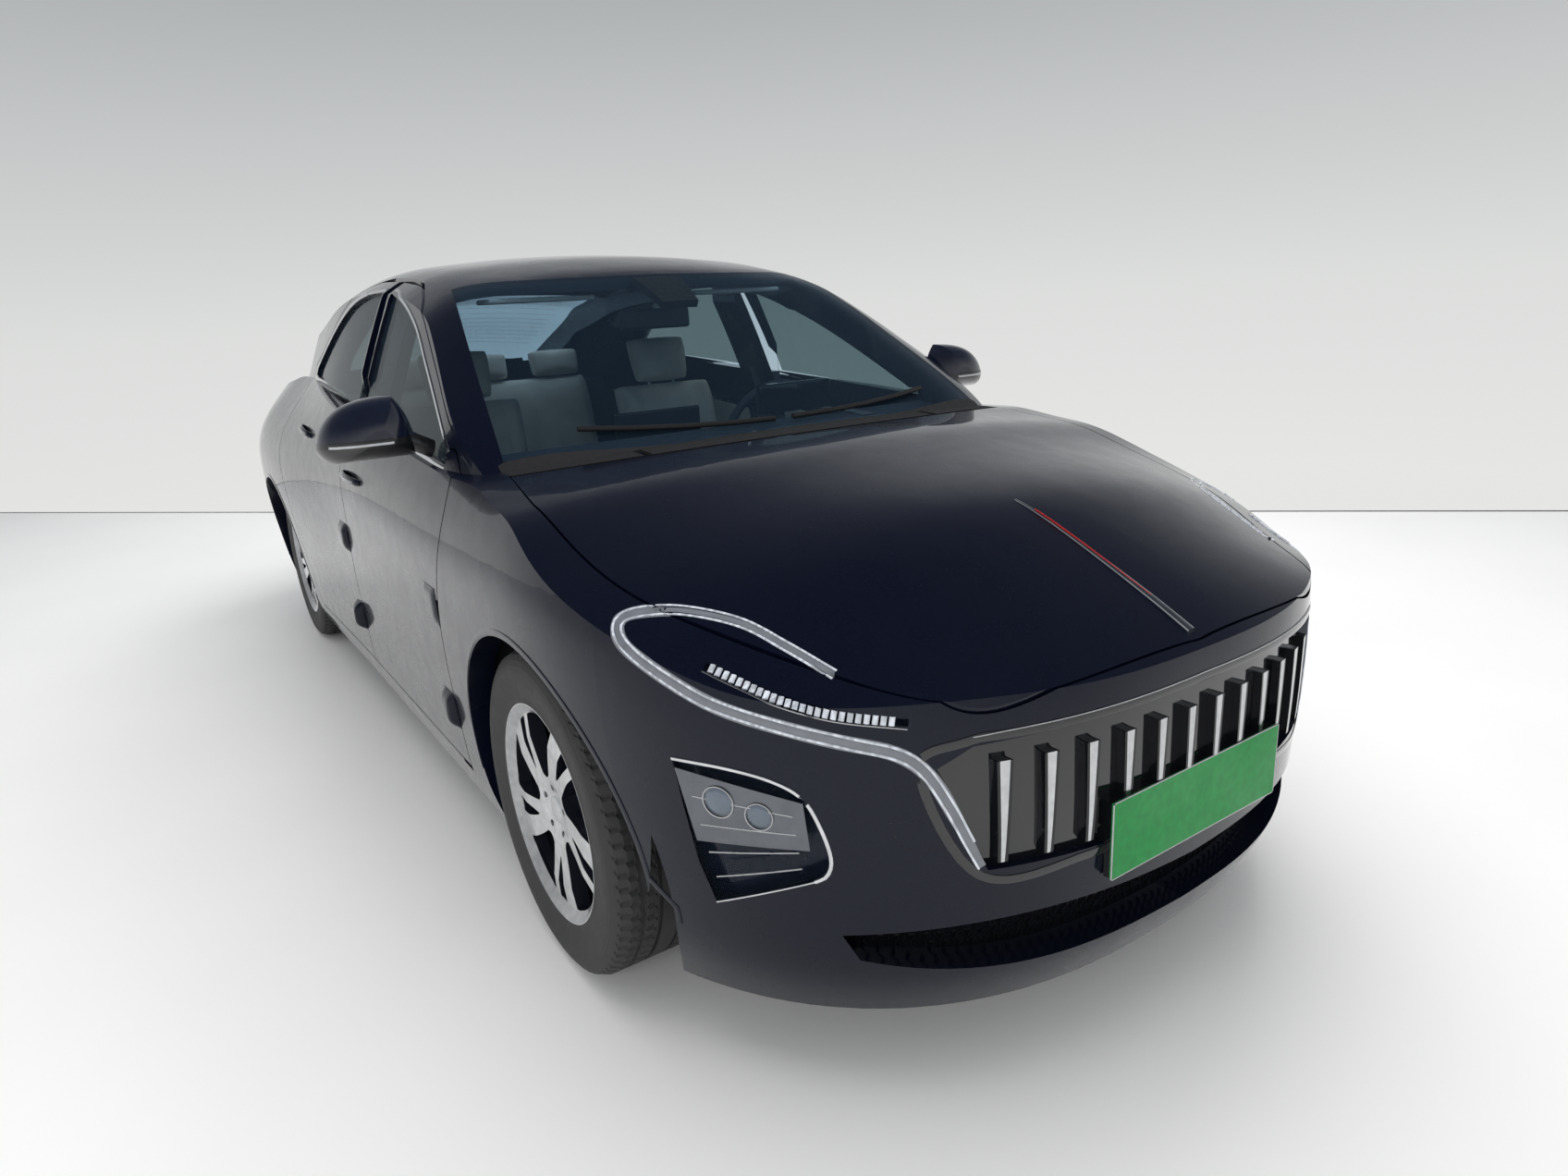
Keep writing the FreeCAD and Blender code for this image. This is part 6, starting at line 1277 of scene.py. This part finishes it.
def inflated(width, length, thick, bolster, waist, voxel, cap):
    """A pad blown up by a cloth simulation, its movement capped, and smoothed by one subdivision."""
    body = linked("pad_work", from_data(*grid_pad(width, length, thick, bolster, waist)))
    bpy.context.view_layer.objects.active = body
    remesh = body.modifiers.new("remesh", "REMESH")
    remesh.mode = "VOXEL"
    remesh.voxel_size = voxel
    flat = evaluated(body)
    body.modifiers.clear()
    body.data = flat
    rest = [vertex.co.copy() for vertex in flat.vertices]
    cloth = body.modifiers.new("cloth", "CLOTH")
    cloth.settings.use_pressure = True
    cloth.settings.uniform_pressure_force = CLOTH_PRESSURE
    cloth.settings.effector_weights.gravity = 0.0
    cloth.settings.quality = CLOTH_QUALITY
    cloth.point_cache.frame_start, cloth.point_cache.frame_end = 1, CLOTH_FRAMES
    for number in range(1, CLOTH_FRAMES + 1):
        bpy.context.scene.frame_set(number)
    blown = evaluated(body)
    body.modifiers.clear()
    for vertex, start in zip(blown.vertices, rest):
        shift = vertex.co - start
        if shift.length > cap:
            vertex.co = start + shift.normalized() * cap
    body.data = blown
    bpy.context.scene.frame_set(1)
    finer = body.modifiers.new("subdivision", "SUBSURF")
    finer.levels = finer.render_levels = 1
    done = evaluated(body)
    bpy.data.objects.remove(body)
    done.shade_smooth()
    return done


def set_pad(name, mesh, place, lean):
    """A copy of a pad leant about the car's cross axis and set in place."""
    copy = mesh.copy()
    copy.transform(Matrix.Translation(place) @ Matrix.Rotation(math.radians(lean), 4, "Y")
                   @ Matrix.Rotation(-math.pi / 2, 4, "Z"))
    made = new_object(name, copy, "seat_leather")
    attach(made, "car_body")
    return made


def seams_on(pad, lines, aim, y=0.0):
    """Piping pressed on a pad along lines, which are moved across the car by y."""
    mesh, parts = pad.data, []
    tree = BVHTree.FromPolygons([vertex.co.copy() for vertex in mesh.vertices],
                                [tuple(side.vertices) for side in mesh.polygons])
    for line in lines:
        found = [tree.ray_cast(point - aim * PIPING_REACH, aim, 2 * PIPING_REACH)
                 for point in resampled([Vector(end) + at(0, y, 0) for end in line], PIPING_STEP)]
        path = [(place - out * PIPING * PIPING_SINK, out) for place, out, _, _ in found if place is not None]
        if len(path) > PIPING_LEAST:
            parts.append(swept(path, lambda share: round_outline(2 * PIPING, 2 * PIPING, PIPING_SIDES)))
    return parts


def make_front_seats():
    """Two front seats: cushion, leaning back and headrest on a dark base."""
    meshes = [inflated(*pad) for pad in (CUSHION, BACK, REST)]
    for side, y in SEAT_Y.items():
        cushion, back, _ = (set_pad(name + side, mesh, (x, y, z), lean)
                            for mesh, (name, x, z, lean, fill) in zip(meshes, SEAT_PADS))
        seams = seams_on(cushion, SEAT_SEAMS, FROM_ABOVE, y) + seams_on(back, BACK_SEAMS, FROM_AHEAD, y)
        piece("front_seat_seams_" + side, seams, "seat_leather")
        move = at(0, y, 0)
        base = [block(Vector(low) + move, Vector(high) + move, bevel) for low, high, bevel in SEAT_BASE]
        piece("front_seat_base_" + side, base, "dash", smooth=False)
        posts = [swept([(Vector(end) + move, FROM_RIGHT) for end in post],
                       lambda share: round_outline(POST_WIDTH, POST_WIDTH)) for post in POSTS]
        piece("front_headrest_posts_" + side, posts, "satin")
        if side == "right":
            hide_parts("front_seats")


def make_rear_seat():
    """The rear bench: one cushion, one back and three low headrests."""
    cushion, back, rest = (inflated(*pad) for pad in (BENCH, BENCH_BACK, BENCH_REST))
    seat = set_pad("rear_cushion", cushion, BENCH_PLACE, BENCH_LEAN)
    upright = set_pad("rear_back", back, BENCH_BACK_PLACE, BENCH_BACK_LEAN)
    for name, y in BENCH_RESTS.items():
        set_pad("rear_headrest_" + name, rest, (BENCH_REST_X, y, BENCH_REST_Z), BENCH_REST_LEAN)
    seams = seams_on(seat, BENCH_SEAMS, FROM_ABOVE) + seams_on(upright, BENCH_BACK_SEAMS, FROM_AHEAD)
    piece("rear_seat_seams", seams, "seat_leather")
    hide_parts("rear_seat")


# Linings as two lines (ends, count), then thickness, rows and reach of the search
HEADLINER = (((-0.98, -0.52, 1.20), (0.50, -0.52, 1.20)), ((-0.98, 0.52, 1.20), (0.50, 0.52, 1.20)), 60,
             0.004, 24, 0.10)
DASH_TOP = (((0.66, -0.70, 1.3), (0.66, 0.70, 1.3)), ((1.10, -0.70, 1.3), (1.10, 0.70, 1.3)), 60,
            0.003, 12, 0.3)
SENSOR_COVER = (((0.56, -0.085, 1.25), (0.74, -0.060, 1.25)), ((0.56, 0.085, 1.25), (0.74, 0.060, 1.25)), 20,
                0.022, 8, 0.15)
# Door linings: their ends; then count of points, thickness, rows and reach, and the heights they run at
DOOR_LININGS = {"front": (0.10, 1.04), "rear": (-0.72, -0.02)}
LOW_LINING, HIGH_LINING, ARMREST = (50, 0.007, 10, 0.25), (50, 0.009, 10, 0.25), (30, 0.042, 4, 0.25)
INSIDE, FOOT, WAIST, SHOULDER_REAR, SHOULDER_FRONT = -0.55, 0.36, 0.66, 0.98, 0.92
ARMREST_REAR, ARMREST_FRONT, ARMREST_TOP = 0.10, 0.32, (0.72, 0.70)
BELT, BELT_SIZE = ((0.020, -0.55, 1.12), (-0.030, -0.55, 0.42), 40), (0.046, 0.0020)
BELT_SINK, BELT_REACH, BELT_LIMIT = -0.0004, 0.12, -0.83


def lining(names, aim, first, second, count, thick, rows, reach):
    """A lining between two straight lines, as a list of parts."""
    return inside_patch(names, line_between(*first, count), line_between(*second, count), aim, thick, rows,
                        reach)


def make_linings():
    """Headliner, door linings with armrests, and belts."""
    piece("headliner", lining(("roof",), FROM_BELOW, *HEADLINER), "headliner")
    for door, (rear, front) in DOOR_LININGS.items():
        name = (door + "_door_right",)

        def level(low, high, rear=rear, front=front):
            return (rear, INSIDE, low), (front, INSIDE, high)
        low, mid, high = level(FOOT, FOOT), level(WAIST, WAIST), level(SHOULDER_REAR, SHOULDER_FRONT)
        arm = [level(*heights, rear + ARMREST_REAR, front - ARMREST_FRONT)
               for heights in ((WAIST, WAIST), ARMREST_TOP)]
        on_doors(door, [
            ("lining_low_" + door, lining(name, FROM_LEFT, low, mid, *LOW_LINING), "dash"),
            ("lining_high_" + door, lining(name, FROM_LEFT, mid, high, *HIGH_LINING), "seat_leather"),
            ("armrest_" + door, lining(name, FROM_LEFT, *arm, *ARMREST), "dark_leather")])
    belt = laid(("side_frame_right",), line_between(*BELT), FROM_LEFT, BELT_SINK, BELT_REACH)
    piece("belts", both_sides(strip([pair for pair in belt if pair[0].y > BELT_LIMIT], *BELT_SIZE)), "belt")


# Blocks: piece, finish, and their corners and bevels
DASH_BLOCKS = (
    ("screen_body", "black_gloss", ((0.556, -0.170, 0.860), (0.572, 0.130, 1.050), 0.006)),
    ("screen_face", "display", ((0.5545, -0.160, 0.868), (0.5575, 0.120, 1.042), 0.001)),
    ("dial_body", "black_gloss", ((0.690, 0.270, 1.010), (0.720, 0.560, 1.105), 0.008)),
    ("dial_face", "display", ((0.6885, 0.280, 1.018), (0.6915, 0.550, 1.097), 0.001)))
TOP_BLOCKS = (
    ("inner_mirror", "black_matte", ((0.548, -0.120, 1.300), (0.572, 0.120, 1.362), 0.010)),
    ("inner_mirror_glass", "mirror_glass", ((0.5462, -0.112, 1.306), (0.5488, 0.112, 1.356), 0.001)),
    ("visors", "headliner",
     *(((0.390, y - 0.165, 1.398), (0.520, y + 0.165, 1.412), 0.006) for y in (-0.34, 0.34))))
VENTS, VENT_FINS, VENT_FOOT, VENT_STEP = (-0.62, -0.50, 0.62), 4, 0.870, 0.016
VENT_HALF, VENT_BEVEL, VENT_FROM, VENT_REACH = at(0.004, 0.045, 0.004), 0.0015, 0.4, 0.3
BOSS = [(0.0, 0.022), (0.035, 0.020), (0.058, 0.010), (0.064, -0.004), (0.050, -0.016)]
COLUMN_AXIS, BOSS_SIDES = at(-0.88, 0, 0.47), 40


def make_blocks(rows):
    """Blocks with cut edges, one piece a row."""
    for name, finish, *blocks in rows:
        piece(name, [block(*own) for own in blocks], finish, smooth=False)


def make_dash():
    """Centre screen, dial screen, vents, top pad and the steering wheel's boss."""
    make_blocks(DASH_BLOCKS)
    vents = []
    for y in VENTS:
        for number in range(VENT_FINS):
            z = VENT_FOOT + number * VENT_STEP
            place, _ = landed(("dashboard",), at(VENT_FROM, y, z), FROM_BEHIND, VENT_REACH)
            if place is not None:
                seat = at(place.x, y, z)
                vents.append(block(seat - VENT_HALF, seat + VENT_HALF, VENT_BEVEL))
    piece("vents", vents, "satin", smooth=False)
    piece("dash_top", lining(("dashboard",), FROM_ABOVE, *DASH_TOP), "dark_leather")
    boss = turned_part(BOSS, middle("steering_wheel"), COLUMN_AXIS, BOSS_SIDES)
    piece("steering_boss", [boss], "dark_leather", "steering_wheel")


def make_top_trim():
    """Sensor cover and inner mirror under the windscreen, and visors."""
    piece("sensor_cover", lining(("windscreen",), FROM_BELOW, *SENSOR_COVER), "black_matte")
    make_blocks(TOP_BLOCKS)


# Lines across the rear: piece, skin, ends, points, heights with widths, depth, finish, body
BEHIND_CAR, REAR_SINK = -2.6, -0.0004
LAMP_ROWS = ((0.938, 0.008), (0.917, 0.008))
REFLECTOR_ROWS = ((0.395, 0.011), (0.410, 0.011))
SKIRT_ROWS = ((0.300, 0.020), (0.262, 0.034), (0.222, 0.034))
REAR_LINES = (
    ("lid_lamp_lines", ("lid_lamp", "boot_lid"), (-0.545, 0.545), 61, LAMP_ROWS, 0.0018,
     "red_guide", "boot_lid"),
    ("tail_lamp_lines", ("tail_lamps",), (-0.580, -0.665), 11, LAMP_ROWS, 0.0018, "red_guide", "car_body"),
    ("reflectors", ("rear_bumper",), (-0.780, -0.560), 24, REFLECTOR_ROWS, 0.0016, "red_line", "car_body"),
    ("rear_skirt", ("rear_bumper",), (-0.640, 0.640), 90, SKIRT_ROWS, 0.0016, "black_matte", "car_body"))
WIRE_COUNT, WIRE_FROM, WIRE_GAP, WIRE_HALF, WIRE_POINTS = 14, -1.15, 0.055, 0.47, 50
WIRE_SIZE, WIRE_SINK, ABOVE_CAR = (0.0014, 0.0004), -0.0002, 1.6


def make_rear():
    """Light lines of the tail lamps, reflectors, dark skirt and heater lines."""
    for name, names, (start, end), count, rows, depth, finish, body in REAR_LINES:
        parts = []
        for z, width in rows:
            line = line_between((BEHIND_CAR, start, z), (BEHIND_CAR, end, z), count)
            parts += line_on(names, line, FROM_BEHIND, width, depth, REAR_SINK)
        piece(name, both_sides(parts) if max(start, end) < 0 else parts, finish, body)
    wires = []
    for number in range(WIRE_COUNT):
        x = WIRE_FROM - number * WIRE_GAP
        line = line_between((x, -WIRE_HALF, ABOVE_CAR), (x, WIRE_HALF, ABOVE_CAR), WIRE_POINTS)
        wires += line_on(("rear_window",), line, FROM_ABOVE, *WIRE_SIZE, WIRE_SINK, 1)
    piece("rear_window_wires", wires, "red_line")


# Every piece

dress_nodes()
add_camera()
add_floor()
add_world()
for lamp in LAMPS:
    add_lamp(*lamp)
for end, axle in (("front", FRONT_AXLE), ("rear", REAR_AXLE)):
    for side in SIDES:
        make_wheel(end + "_" + side, axle)
for make in (make_lamps, make_grille, make_front_trim, make_arch_lips, make_window_trim, make_handles,
             make_mirrors, make_hinge_covers, make_front_seats, make_rear_seat, make_linings, make_dash,
             make_top_trim, make_rear):
    make()
